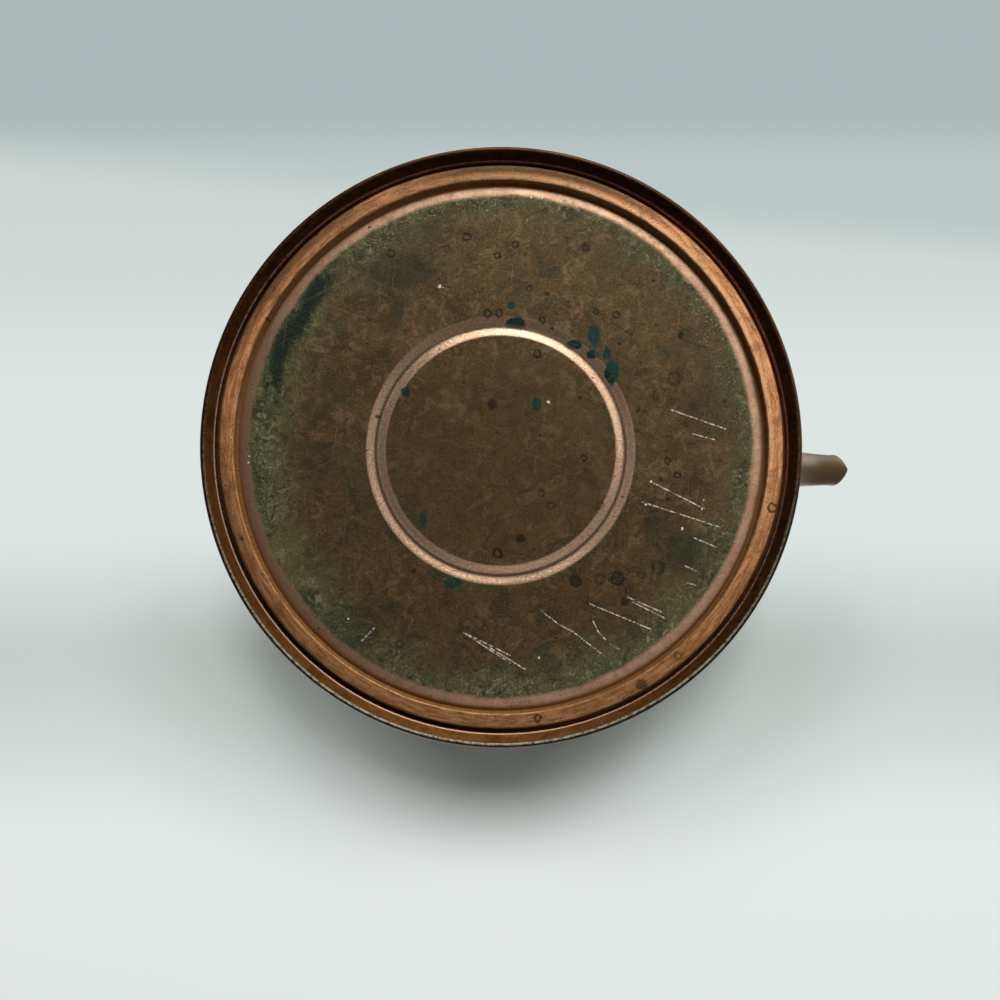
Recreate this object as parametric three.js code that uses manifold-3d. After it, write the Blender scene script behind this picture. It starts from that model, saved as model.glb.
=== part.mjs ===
// A copper kettle with a pressed base, a gooseneck spout, a hinged lid and a swinging bail.
// Millimetres, +Z up, the spout towards +X, the lid's hinge at -X, the bail's ears at +Y and -Y.
// The origin is the centre of the base panel's flat underside, on the kettle's axis.

import * as THREE from "three";
import { mergeVertices } from "three/addons/utils/BufferGeometryUtils.js";
import Module from "manifold-3d";

const wasm = await Module();
wasm.setup();

// Sizes that every piece shares
const sheet = 1.2; // thickness of the copper sheet
const seatGap = 0.3; // clearance between two pieces that bear on each other
const overrun = 3; // how far a cutting body passes the surfaces that it cuts
const weldDistance = 0.0005; // vertices nearer than this are one vertex

// Facets
const roundFacets = 40; // round the kettle's axis
const tubeFacets = 16; // round the spout, the grip and the knob
const wireFacets = 12; // round the bail's wire and the pins
const rivetFacets = 8;
const arcSteps = 3; // along a small rounded corner
const domeSteps = 9; // along the body's dome
const lidSteps = 7; // along the lid's dome
const spoutSteps = 18; // along the spout

// Base: a foot band that stands on the table, a groove, a flat panel and an embossed ring
const footRecess = 1.6; // from the foot band's plane up to the panel
const footSetback = 5.4; // foot band's outer edge inside the rim
const footBandWidth = 3.8;
const footEdge = 0.6; // bevel of the foot band's outer corner
const footInnerEdge = 0.3;
const grooveWidth = 1.8;
const grooveDepth = 2.4; // above the panel's plane
const grooveEdge = 0.4;
const shoulderRound = 3.1; // rounded edge between the panel and the groove
const embossRadius = 37.2; // middle of the embossed ring
const embossWidth = 5.6;
const embossFloorWidth = 1.2;
const embossDepth = 1.2;
const embossOffsetX = -0.45; // the ring was struck a little off centre
const embossOffsetY = 1.6;
const flangeHeight = 8; // upstanding edge of the base inside the body's wall

// Body: a crimped bottom edge, a short upright wall and a dome of elliptical section
const rimRadius = 89;
const lipWidth = 3.6; // from the rim in to the sheet's raw edge, folded under the base's flange
const lipSlope = THREE.MathUtils.degToRad(26); // the folded lip climbs inwards
const crestLift = 0.3; // lowest point of the fold above the foot band's plane
const crestRound = 0.9; // outer radius of the fold
const bulgeSwell = 0.2; // how far the wall swells past the rim
const bulgeHeight = 20;
const domeRise = 85;
const mouthRadius = 43; // hole in the dome, under the collar

// Neck collar
const collarWall = 1.4;
const collarHeight = 7; // above the dome where the collar's wall stands
const collarMargin = 0.4; // inner face of the collar outside the mouth's edge
const collarFlangeWidth = 4;
const collarFlangeThickness = 1.5;
const collarBead = 1;

// Spout
const spoutRootSetback = 23; // start of the centreline inside the rim
const spoutRootZ = 34;
const spoutReach = 81.3;
const spoutRise = 95;
const spoutRootRadius = 17;
const spoutLipRadius = 6.5;
const spoutLipOverrun = 9; // tube past the lip point, before the mouth is cut
const spoutBoreInset = 30; // how far the bore's cutter reaches into the kettle
const spoutBeakLength = 9; // stretch over which the lip narrows to its point, seen from below
const spoutTaperPower = 1.6;
const spoutMouthAngle = THREE.MathUtils.degToRad(52); // of the mouth's normal above the horizontal
const spoutPathShares = [
  [0, 0],
  [0.31, 0.235],
  [0.46, 0.505],
  [0.575, 0.735],
  [0.77, 0.915],
  [1, 1],
];

// Lid
const lidOverhang = 3.7; // lid's edge past the collar's wall
const lidBrimWidth = 7.5; // flat edge round the lid's dome
const lidDomeRise = 16;
const bezelDepth = 7;
const bezelRunning = 0.8; // clearance to the collar, which lets the bezel swing out
const screwHole = 2.3;

// Knob and what holds it
const rosetteRadius = 8;
const rosetteThickness = 1.6;
const knobHeight = 27;
const knobRadius = 9.5;
const knobProfileShares = [
  [0.66, 0],
  [0.66, 0.06],
  [0.37, 0.13],
  [0.34, 0.2],
  [0.78, 0.3],
  [1, 0.44],
  [0.96, 0.56],
  [0.72, 0.7],
  [0.36, 0.8],
  [0.25, 0.86],
  [0.26, 0.94],
  [0.14, 1],
];
const knobBoreDepth = 12;
const screwRadius = 2;
const screwHeadRadius = 4.4;
const screwHeadHeight = 2;
const washerRadius = 6.5;
const washerThickness = 1.2;

// Rivets
const rivetRadius = 1.5;
const rivetHeadRadius = 2.9;
const rivetHeadHeight = 1.5;
const rivetTailRadius = 2.5;
const rivetTailHeight = 0.9;

// Hinge
const hingeSetback = 3.4; // pin's axis behind the lid's edge
const hingePinRadius = 1.3;
const knuckleRadius = 2.8;
const knuckleWidth = 8.4; // the lid's knuckle; the body's two stand beside it
const hingeLeafWidth = 22;
const hingeLeafThickness = 1.5;
const hingeFootLength = 17;
const hingeRivetSetback = 9.5; // from the pin's axis down the body's leaf
const hingeRivetSpacing = 13;
const hingePinHead = 0.9;
const lidStrapWidth = 12;
const lidStrapReach = 28; // from the pin's axis to the middle of the strap's round end
const lidRivetSpacing = 8;

// Ears
const earSpreadShare = 0.4257; // of the way from the neck's flange to the body's side
const earThickness = 4;
const earTopRadius = 8;
const earPivotLift = 14.82; // above the dome at the tab's middle
const earFootHalfLength = 14;
const earFootInner = 7.5; // foot's reach towards the neck from the tab's middle
const earFootOuter = 11;
const earFootThickness = 2;
const earWaist = 10.5; // half-width of the tab where it meets the foot
const earRivetX = 9.6;
const earRivetSetout = 6.4; // rivets outside the tab's middle
const stopWidth = 4;
const stopHeight = 4.5;
const stopDepth = 4.2;

// Bail
const wireRadius = 3;
const bailRise = 121; // from the pivot up to the middle of the straight top's wire
const bailCornerRadius = 27;
const bailCornerShare = 0.5523; // handle length of a cubic curve that follows a quarter circle
const bailSteps = 44;
const eyeRadius = 6.4;
const eyeThickness = 3.2;
const eyeTongueLength = 15;
const eyeTongueWidth = 5.4;
const wireStart = 11.5; // from the pivot to the round wire
const pivotPinRadius = 2.3;
const pivotHeadRadius = 4.4;
const pivotHeadHeight = 1.4;
const gripRadius = 12.2;
const gripProfileShares = [
  [0.62, 0],
  [0.66, 0.03],
  [0.78, 0.12],
  [0.93, 0.28],
  [1, 0.5],
  [0.93, 0.72],
  [0.78, 0.88],
  [0.66, 0.97],
  [0.62, 1],
];
const ferruleLength = 5;
const ferruleRadius = 6.6;
const ferruleLipRadius = 5;
const ferruleOverhang = 1.4; // how far a ferrule reaches past the bail's straight top

// Places that follow from the sizes
const bulgeRadius = rimRadius + bulgeSwell;
const footPlane = -footRecess;
const footOuterRadius = rimRadius - footSetback;
const footInnerRadius = footOuterRadius - footBandWidth;
const footWallRadius = footOuterRadius + footEdge;
const grooveOuterRadius = footInnerRadius - footInnerEdge;
const grooveInnerRadius = grooveOuterRadius - grooveWidth;
const shoulderCentreRadius = grooveInnerRadius - shoulderRound;
const lipEdgeRadius = rimRadius - lipWidth;
const crestCentreRadius = rimRadius - crestRound;
const crestCentreHeight = footPlane + crestLift + crestRound;
const lipStartRadius = crestCentreRadius - crestRound * Math.sin(lipSlope);
const lipStartHeight = crestCentreHeight - crestRound * Math.cos(lipSlope);
const lipEdgeHeight = lipStartHeight + (lipStartRadius - lipEdgeRadius) * Math.tan(lipSlope);
const lipThickness = sheet / Math.cos(lipSlope); // measured upright
const flangeBottom = lipEdgeHeight + lipThickness + seatGap;
const collarInnerRadius = mouthRadius + collarMargin;
const collarOuterRadius = collarInnerRadius + collarWall;
const collarFlangeRadius = collarOuterRadius + collarFlangeWidth;
const collarTop = domeHeight(collarOuterRadius) + collarHeight;
const spoutRootX = rimRadius - spoutRootSetback;
const lidRadius = collarOuterRadius + lidOverhang;
const lidDomeRadius = lidRadius - lidBrimWidth;
const lidBase = collarTop + seatGap;
const lidFlangeTop = lidBase + sheet;
const lidTop = lidFlangeTop + lidDomeRise;
const lidInnerTop = lidTop - sheet;
const bezelOuterRadius = collarInnerRadius - bezelRunning;
const bezelInnerRadius = bezelOuterRadius - sheet;
const rosetteTop = lidTop + seatGap + rosetteThickness;
const knobBase = rosetteTop + seatGap;
const hingeX = -(lidRadius + hingeSetback);
const hingeZ = lidFlangeTop + seatGap + hingeLeafThickness / 2;
const earY = collarFlangeRadius + (bulgeRadius - collarFlangeRadius) * earSpreadShare;
const earPivotHeight = domeHeight(earY) + earPivotLift;
const earInnerFace = earY - earThickness / 2;
const earOuterFace = earY + earThickness / 2;
const eyeInnerFace = earOuterFace + seatGap;
const bailLegY = eyeInnerFace + eyeThickness / 2;
const bailTopHeight = earPivotHeight + bailRise;
const bailCornerY = bailLegY - bailCornerRadius;
const ferruleEnd = bailCornerY + ferruleOverhang;
const gripLength = (ferruleEnd - ferruleLength - seatGap) * 2;

// Height of the dome's outer surface at a radius, for a dome grown outwards by grow
function domeHeight(radius, grow = 0) {
  const share = radius / (bulgeRadius + grow);
  return bulgeHeight + (domeRise + grow) * Math.sqrt(1 - share * share);
}

// Solids

function solidOf(geometry) {
  const bare = geometry.clone();
  bare.deleteAttribute("normal");
  bare.deleteAttribute("uv");
  const merged = mergeVertices(bare, weldDistance);
  const corners = merged.index.array;
  const kept = [];
  for (let i = 0; i < corners.length; i += 3) {
    const [a, b, c] = corners.slice(i, i + 3);
    if (a !== b && b !== c && c !== a) kept.push(a, b, c);
  }
  const vertProperties = merged.attributes.position.array;
  return new wasm.Manifold(new wasm.Mesh({ numProp: 3, vertProperties, triVerts: new Uint32Array(kept) }));
}

function geometryOf(solid) {
  const { vertProperties, triVerts } = solid.getMesh();
  const geometry = new THREE.BufferGeometry();
  geometry.setAttribute("position", new THREE.BufferAttribute(vertProperties, 3));
  geometry.setIndex(new THREE.BufferAttribute(triVerts, 1));
  return geometry;
}

// A profile of [radius, height] points turned about the Z axis. It runs anticlockwise: up its outer side.
function turnedGeometry(profile, facets) {
  const points = profile.map(([radius, height]) => new THREE.Vector2(radius, height));
  return new THREE.LatheGeometry(points, facets).rotateX(Math.PI / 2);
}

function turned(profile, facets = roundFacets) {
  return solidOf(turnedGeometry(profile, facets));
}

function closed(profile) {
  return [...profile, profile[0]];
}

function discProfile(radius, low, high) {
  return [
    [0, low],
    [radius, low],
    [radius, high],
    [0, high],
  ];
}

function ringProfile(inner, outer, low, high) {
  return closed([
    [inner, low],
    [outer, low],
    [outer, high],
    [inner, high],
  ]);
}

// Points of an elliptical arc in the profile's plane, both ends included
function arcPoints([radius, height], [halfWidth, halfHeight], from, to, steps) {
  return Array.from({ length: steps + 1 }, (_, i) => {
    const angle = from + ((to - from) * i) / steps;
    return [radius + halfWidth * Math.cos(angle), height + halfHeight * Math.sin(angle)];
  });
}

// Geometry made about +Z at the origin, moved to a place and turned so that its +Z points along a direction
function aimed(geometry, place, direction) {
  const turn = new THREE.Quaternion().setFromUnitVectors(new THREE.Vector3(0, 0, 1), direction.clone().normalize());
  return geometry.clone().applyQuaternion(turn).translate(place.x, place.y, place.z);
}

function block([sizeX, sizeY, sizeZ], [x, y, z]) {
  return solidOf(new THREE.BoxGeometry(sizeX, sizeY, sizeZ).translate(x, y, z));
}

// A round bar along Y between two values of y
function barAlongY(radius, [x, z], fromY, toY, facets = wireFacets) {
  const bar = new THREE.CylinderGeometry(radius, radius, toY - fromY, facets);
  return solidOf(bar.translate(x, (fromY + toY) / 2, z));
}

// A flat outline of [x, z] points given a thickness along Y
function plateAlongY(shape, fromY, toY, curveSegments = tubeFacets) {
  const plate = new THREE.ExtrudeGeometry(shape, { depth: toY - fromY, bevelEnabled: false, curveSegments });
  return solidOf(plate.rotateX(Math.PI / 2).translate(0, toY, 0));
}

// Base

function makeBase() {
  const flangeRadius = rimRadius - sheet - seatGap;
  const shoulderCentre = [shoulderCentreRadius, shoulderRound];
  const shoulderTopRound = shoulderRound - sheet;
  const underside = [
    [0, 0],
    ...arcPoints(shoulderCentre, [shoulderRound, shoulderRound], -Math.PI / 2, -Math.PI / 12, arcSteps),
    [grooveInnerRadius, grooveDepth - grooveEdge],
    [grooveInnerRadius + grooveEdge, grooveDepth],
    [grooveOuterRadius - grooveEdge, grooveDepth],
    [grooveOuterRadius, grooveDepth - grooveEdge],
    [grooveOuterRadius, footPlane + footInnerEdge],
    [footInnerRadius, footPlane],
    [footOuterRadius, footPlane],
    [footWallRadius, footPlane + footEdge],
    [footWallRadius, flangeBottom],
    [flangeRadius, flangeBottom],
    [flangeRadius, flangeHeight],
  ];
  const topside = [
    [flangeRadius - sheet, flangeHeight],
    [flangeRadius - sheet, flangeBottom + sheet],
    [footWallRadius - sheet, flangeBottom + sheet],
    [footWallRadius - sheet, footPlane + sheet],
    [grooveOuterRadius + sheet, footPlane + sheet],
    [grooveOuterRadius + sheet, grooveDepth + sheet],
    [grooveInnerRadius - sheet, grooveDepth + sheet],
    ...arcPoints(shoulderCentre, [shoulderTopRound, shoulderTopRound], -Math.PI / 12, -Math.PI / 2, arcSteps),
    [0, sheet],
  ];
  return turned([...underside, ...topside]).add(embossRing(sheet)).subtract(embossRing(0));
}

// The embossed ring's section at a height above the panel's underside: what it adds on top, or cuts below
function embossRing(height) {
  const inner = embossRadius - embossWidth / 2;
  const outer = embossRadius + embossWidth / 2;
  const profile = closed([
    [inner, height - sheet / 2],
    [outer, height - sheet / 2],
    [outer, height],
    [embossRadius + embossFloorWidth / 2, height + embossDepth],
    [embossRadius - embossFloorWidth / 2, height + embossDepth],
    [inner, height],
  ]);
  return solidOf(turnedGeometry(profile, roundFacets).translate(embossOffsetX, embossOffsetY, 0));
}

// Body

function makeBody() {
  const mouthAngle = Math.acos(mouthRadius / bulgeRadius);
  const innerMouthAngle = Math.acos(mouthRadius / (bulgeRadius - sheet));
  const domeCentre = [0, bulgeHeight];
  const crestCentre = [crestCentreRadius, crestCentreHeight];
  const crestArc = [crestRound, crestRound];
  const wallInner = rimRadius - sheet;
  const foldRadius = wallInner - crestRound / 2;
  const innerDome = [bulgeRadius - sheet, domeRise - sheet];
  return turned(
    closed([
      [lipEdgeRadius, lipEdgeHeight],
      ...arcPoints(crestCentre, crestArc, -Math.PI / 2 - lipSlope, 0, arcSteps + 1),
      ...arcPoints(domeCentre, [bulgeRadius, domeRise], 0, mouthAngle, domeSteps),
      ...arcPoints(domeCentre, innerDome, innerMouthAngle, 0, domeSteps),
      [wallInner, crestCentreHeight + sheet],
      [foldRadius, lipTopAt(foldRadius)],
      [lipEdgeRadius, lipTopAt(lipEdgeRadius)],
    ]),
  );
}

// Height of the folded lip's upper face at a radius
function lipTopAt(radius) {
  return lipEdgeHeight + lipThickness - (radius - lipEdgeRadius) * Math.tan(lipSlope);
}

// The body as one filled shape above its bulge, grown outwards, for cutting what sits on it
function bodyEnvelope(grow) {
  return turned([
    [0, 0],
    [bulgeRadius + grow, 0],
    ...arcPoints([0, bulgeHeight], [bulgeRadius + grow, domeRise + grow], 0, Math.PI / 2, domeSteps * 2),
  ]);
}

// A plate of even thickness that lies on the dome, within the outline of a column
function plateOnDome(thickness, column) {
  return bodyEnvelope(seatGap + thickness).subtract(bodyEnvelope(seatGap)).intersect(column);
}

// A point on the dome and the direction square to it there
function onDome(x, y) {
  const radius = Math.hypot(x, y);
  const height = domeHeight(radius);
  const slope = new THREE.Vector3(
    x / bulgeRadius ** 2,
    y / bulgeRadius ** 2,
    (height - bulgeHeight) / domeRise ** 2,
  );
  return { place: new THREE.Vector3(x, y, height), direction: slope.normalize() };
}

// Spout

const spoutPath = new THREE.CatmullRomCurve3(
  spoutPathShares.map(
    ([x, z]) => new THREE.Vector3(spoutRootX + spoutReach * x, 0, spoutRootZ + spoutRise * z),
  ),
  false,
  "centripetal",
);
const spoutLength = spoutPath.getLength();

// Place and directions on the spout's centreline at a distance from its root, straight past either end
function spoutFrame(distance) {
  const within = THREE.MathUtils.clamp(distance, 0, spoutLength);
  const along = spoutPath.getTangentAt(within / spoutLength);
  const place = spoutPath.getPointAt(within / spoutLength).addScaledVector(along, distance - within);
  return { place, along, above: new THREE.Vector3(-along.z, 0, along.x) };
}

function spoutRadius(distance) {
  const left = 1 - THREE.MathUtils.clamp(distance / spoutLength, 0, 1);
  return spoutLipRadius + (spoutRootRadius - spoutLipRadius) * left ** spoutTaperPower;
}

// A solid round bar of the spout's radius less a wall, bent along its centreline
function spoutBar(wall, from, to) {
  const distances = Array.from({ length: spoutSteps + 1 }, (_, i) => from + ((to - from) * i) / spoutSteps);
  const profile = [[0, from], ...distances.map((d) => [spoutRadius(d) - wall, d]), [0, to]];
  const bar = turnedGeometry(profile, tubeFacets);
  const points = bar.getAttribute("position");
  for (let i = 0; i < points.count; i++) {
    const { place, above } = spoutFrame(points.getZ(i));
    place.addScaledVector(above, points.getX(i));
    points.setXYZ(i, place.x, place.y - points.getY(i), place.z);
  }
  return solidOf(bar);
}

function makeSpout() {
  const tube = spoutBar(0, 0, spoutLength + spoutLipOverrun).subtract(spoutBore());
  const { place, above } = spoutFrame(spoutLength);
  const lip = place.addScaledVector(above, -spoutLipRadius);
  const facing = new THREE.Vector3(Math.cos(spoutMouthAngle), 0, Math.sin(spoutMouthAngle));
  const cutSize = spoutRootRadius * 2;
  const cutter = new THREE.BoxGeometry(cutSize, cutSize, cutSize).translate(0, 0, cutSize / 2);
  const mouth = tube.subtract(solidOf(aimed(cutter, lip, facing)));
  return mouth.intersect(beakColumn(lip.x)).subtract(bodyEnvelope(seatGap));
}

// An upright column whose outline narrows to the lip's point along two arcs
function beakColumn(tipX) {
  const arcRadius = (spoutBeakLength ** 2 + spoutLipRadius ** 2) / (2 * spoutLipRadius);
  const sweep = Math.asin(1 - spoutLipRadius / arcRadius);
  const startX = tipX - spoutBeakLength;
  const centreY = spoutLipRadius - arcRadius;
  const wide = spoutRootRadius * 2;
  const outline = new THREE.Shape();
  outline.moveTo(0, -wide);
  outline.lineTo(startX, -wide);
  outline.absarc(startX, -centreY, arcRadius, -Math.PI / 2, -sweep, false);
  outline.absarc(startX, centreY, arcRadius, sweep, Math.PI / 2, false);
  outline.lineTo(startX, wide);
  outline.lineTo(0, wide);
  const depth = spoutRootZ + spoutRise + wide;
  return solidOf(new THREE.ExtrudeGeometry(outline, { depth, bevelEnabled: false, curveSegments: arcSteps * 2 }));
}

function spoutBore() {
  return spoutBar(sheet, -spoutBoreInset, spoutLength + spoutLipOverrun + overrun);
}

// Neck collar

function makeCollar() {
  const beadBottom = collarTop - collarBead * 2;
  const stem = turned(
    closed([
      [collarInnerRadius, domeHeight(collarInnerRadius) - overrun],
      [collarOuterRadius, domeHeight(collarOuterRadius) - overrun],
      [collarOuterRadius, beadBottom],
      [collarOuterRadius + collarBead, beadBottom + collarBead / 2],
      [collarOuterRadius + collarBead, collarTop - collarBead / 2],
      [collarOuterRadius, collarTop],
      [collarInnerRadius, collarTop],
    ]),
  );
  const column = turned(ringProfile(collarInnerRadius, collarFlangeRadius, bulgeHeight, collarTop));
  return stem.subtract(bodyEnvelope(seatGap)).add(plateOnDome(collarFlangeThickness, column));
}

// Lid

function makeLid() {
  const edge = sheet / 2;
  const innerDome = [lidDomeRadius - sheet, lidDomeRise - sheet];
  return turned([
    ...arcPoints([0, lidFlangeTop], innerDome, Math.PI / 2, 0, lidSteps),
    [lidDomeRadius - sheet, lidBase],
    [lidRadius - edge, lidBase],
    [lidRadius, lidBase + edge],
    [lidRadius - edge, lidFlangeTop],
    ...arcPoints([0, lidFlangeTop], [lidDomeRadius, lidDomeRise], 0, Math.PI / 2, lidSteps),
  ]);
}

// The lid as one filled shape, grown outwards, for cutting what sits on it
function lidEnvelope(grow) {
  const dome = [lidDomeRadius + grow, lidDomeRise + grow];
  const domeStart = Math.asin(grow / dome[1]);
  return turned([
    [0, lidBase],
    [lidRadius + grow, lidBase],
    [lidRadius + grow, lidFlangeTop + grow],
    ...arcPoints([0, lidFlangeTop], dome, domeStart, Math.PI / 2, lidSteps),
  ]);
}

function makeBezel() {
  const high = lidBase - seatGap;
  return turned(ringProfile(bezelInnerRadius, bezelOuterRadius, high - bezelDepth, high));
}

// A point on the lid's dome at y = 0 and the direction square to it there
function onLid(x) {
  const height = lidDomeRise * Math.sqrt(1 - (x / lidDomeRadius) ** 2);
  const slope = new THREE.Vector3(x / lidDomeRadius ** 2, 0, height / lidDomeRise ** 2);
  return { place: new THREE.Vector3(x, 0, lidFlangeTop + height), direction: slope.normalize() };
}

// Knob, rosette, screw and washer on the kettle's axis

function makeKnob() {
  const outside = knobProfileShares.map(([r, z]) => [r * knobRadius, knobBase + z * knobHeight]);
  const body = turned([[0, knobBase], ...outside, [0, knobBase + knobHeight]], tubeFacets);
  const bore = discProfile(screwRadius + seatGap, knobBase - overrun, knobBase + knobBoreDepth);
  return body.subtract(turned(bore, tubeFacets));
}

function makeRosette() {
  const disc = turned(discProfile(rosetteRadius, lidTop - sheet, rosetteTop), tubeFacets);
  return disc.subtract(lidEnvelope(seatGap)).subtract(screwClearance());
}

function makeWasher() {
  const high = lidInnerTop - seatGap;
  const inner = screwRadius + seatGap;
  return turned(ringProfile(inner, washerRadius, high - washerThickness, high), tubeFacets);
}

function makeScrew() {
  const headTop = lidInnerTop - seatGap - washerThickness - seatGap;
  const tip = knobBase + knobBoreDepth - seatGap;
  const profile = [
    [0, headTop - screwHeadHeight],
    [screwHeadRadius, headTop - screwHeadHeight],
    [screwHeadRadius, headTop],
    [screwRadius, headTop],
    [screwRadius, tip],
    [0, tip],
  ];
  return turned(profile, tubeFacets);
}

function screwClearance() {
  return turned(discProfile(screwHole, lidBase, rosetteTop + overrun), tubeFacets);
}

// Rivets: a domed head outside, a shank through two thicknesses and a hammered tail inside

function rivetAt({ place, direction }, outerThickness, wall = sheet) {
  const headSeat = seatGap + outerThickness + seatGap;
  const tailSeat = -wall - seatGap;
  const profile = [
    [0, tailSeat - rivetTailHeight],
    [rivetTailRadius, tailSeat - rivetTailHeight],
    [rivetTailRadius, tailSeat],
    [rivetRadius, tailSeat],
    [rivetRadius, headSeat],
    ...arcPoints([0, headSeat], [rivetHeadRadius, rivetHeadHeight], 0, Math.PI / 2, arcSteps),
  ];
  return solidOf(aimed(turnedGeometry(profile, rivetFacets), place, direction));
}

function rivetHole({ place, direction }) {
  const hole = discProfile(rivetRadius + seatGap, -overrun - sheet, overrun + earFootThickness);
  return solidOf(aimed(turnedGeometry(hole, rivetFacets), place, direction));
}

const hingeRivetSeats = [-1, 1].map((side) =>
  onDome(hingeX - hingeRivetSetback, (side * hingeRivetSpacing) / 2),
);
const lidRivetSeats = [0, 1].map((step) => onLid(hingeX + lidStrapReach - step * lidRivetSpacing));
const earRivetSeats = [-1, 1].map((side) => onDome(side * earRivetX, earY + earRivetSetout));

// Hinge

function makeBodyLeaf() {
  const footMiddle = hingeX - hingeFootLength / 2;
  const column = block([hingeFootLength, hingeLeafWidth, domeRise], [footMiddle, 0, domeRise]);
  const foot = plateOnDome(hingeLeafThickness, column);
  const uprightTop = hingeZ - knuckleRadius - seatGap;
  const uprightBottom = domeHeight(-hingeX) - sheet;
  const uprightX = hingeX - hingeLeafThickness / 2;
  const upright = block(
    [hingeLeafThickness, hingeLeafWidth, uprightTop - uprightBottom],
    [uprightX, 0, (uprightTop + uprightBottom) / 2],
  ).subtract(bodyEnvelope(seatGap));
  const innerY = knuckleWidth / 2 + seatGap;
  const outerY = hingeLeafWidth / 2;
  let leaf = foot.add(upright);
  for (const side of [-1, 1]) {
    const [low, high] = side < 0 ? [-outerY, -innerY] : [innerY, outerY];
    const riser = block(
      [hingeLeafThickness, high - low, hingeZ - uprightBottom],
      [uprightX, (low + high) / 2, (hingeZ + uprightBottom) / 2],
    );
    leaf = leaf.add(riser.subtract(bodyEnvelope(seatGap)));
    leaf = leaf.add(barAlongY(knuckleRadius, [hingeX, hingeZ], low, high));
  }
  leaf = leaf.subtract(hingePinHole());
  return hingeRivetSeats.reduce((cut, seat) => cut.subtract(rivetHole(seat)), leaf);
}

function makeLidLeaf() {
  const halfWidth = lidStrapWidth / 2;
  const endX = hingeX + lidStrapReach;
  const low = lidFlangeTop + seatGap;
  const strapLength = endX - (hingeX + hingeSetback);
  const strapColumn = block(
    [strapLength, lidStrapWidth, lidDomeRise * 2],
    [endX - strapLength / 2, 0, lidBase + lidDomeRise],
  );
  const roundEnd = turnedGeometry(discProfile(halfWidth, lidBase, lidTop + lidDomeRise), tubeFacets);
  const column = strapColumn.add(solidOf(roundEnd.translate(endX, 0, 0)));
  const skin = lidEnvelope(seatGap + hingeLeafThickness).subtract(lidEnvelope(seatGap));
  const bridgeLength = hingeSetback + lidRadius - lidDomeRadius;
  const bridge = block(
    [bridgeLength, knuckleWidth, hingeLeafThickness],
    [hingeX + bridgeLength / 2, 0, low + hingeLeafThickness / 2],
  );
  const knuckle = barAlongY(knuckleRadius, [hingeX, hingeZ], -knuckleWidth / 2, knuckleWidth / 2);
  const leaf = skin.intersect(column).subtract(lidSkirt()).add(bridge).add(knuckle).subtract(hingePinHole());
  return lidRivetSeats.reduce((cut, seat) => cut.subtract(rivetHole(seat)), leaf);
}

// What the strap leaves out: the sliver of its skin that would hang beside the lid's edge
function lidSkirt() {
  const high = lidFlangeTop + seatGap;
  return turned(ringProfile(lidDomeRadius, lidRadius + overrun, lidBase - overrun, high));
}

function hingePinHole() {
  const reach = hingeLeafWidth / 2 + overrun;
  return barAlongY(hingePinRadius + seatGap, [hingeX, hingeZ], -reach, reach);
}

function makeHingePin() {
  const reach = hingeLeafWidth / 2 + seatGap;
  const axis = [hingeX, hingeZ];
  const headRadius = hingePinRadius + hingePinHead;
  let pin = barAlongY(hingePinRadius, axis, -reach - hingePinHead / 2, reach + hingePinHead / 2);
  pin = pin.add(barAlongY(headRadius, axis, reach, reach + hingePinHead));
  return pin.add(barAlongY(headRadius, axis, -reach - hingePinHead, -reach));
}

// Ears: the one at +Y is made, and the other is the same casting turned half round

function makeEar() {
  const column = block(
    [earFootHalfLength * 2, earFootInner + earFootOuter, domeRise],
    [0, earY + (earFootOuter - earFootInner) / 2, domeRise],
  );
  const tabBottom = domeHeight(earOuterFace) - earFootThickness;
  const tab = new THREE.Shape();
  tab.moveTo(-earWaist, tabBottom);
  tab.lineTo(earWaist, tabBottom);
  tab.lineTo(earTopRadius, earPivotHeight);
  tab.absarc(0, earPivotHeight, earTopRadius, 0, Math.PI, false);
  const stopTop = earPivotHeight - wireRadius - seatGap;
  const stopX = wireStart - stopWidth / 2;
  const upright = plateAlongY(tab, earInnerFace, earOuterFace).subtract(bodyEnvelope(seatGap));
  let ear = plateOnDome(earFootThickness, column).add(upright);
  for (const side of [-1, 1]) {
    const reach = earThickness + stopDepth;
    const place = [side * stopX, earInnerFace + reach / 2, stopTop - stopHeight / 2];
    ear = ear.add(block([stopWidth, reach, stopHeight], place));
  }
  const pivotHole = barAlongY(
    pivotPinRadius + seatGap,
    [0, earPivotHeight],
    earInnerFace - overrun,
    earOuterFace + overrun,
  );
  return earRivetSeats.reduce((cut, seat) => cut.subtract(rivetHole(seat)), ear.subtract(pivotHole));
}

function makePivotPin() {
  const axis = [0, earPivotHeight];
  const innerSeat = earInnerFace - seatGap;
  const outerSeat = eyeInnerFace + eyeThickness + seatGap;
  const shank = barAlongY(pivotPinRadius, axis, innerSeat - pivotHeadHeight / 2, outerSeat + pivotHeadHeight / 2);
  const innerHead = barAlongY(pivotHeadRadius, axis, innerSeat - pivotHeadHeight, innerSeat);
  const outerHead = barAlongY(pivotHeadRadius, axis, outerSeat, outerSeat + pivotHeadHeight);
  return shank.add(innerHead).add(outerHead);
}

// Bail: one wire bent to an arch, its ends flattened to eyes

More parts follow.
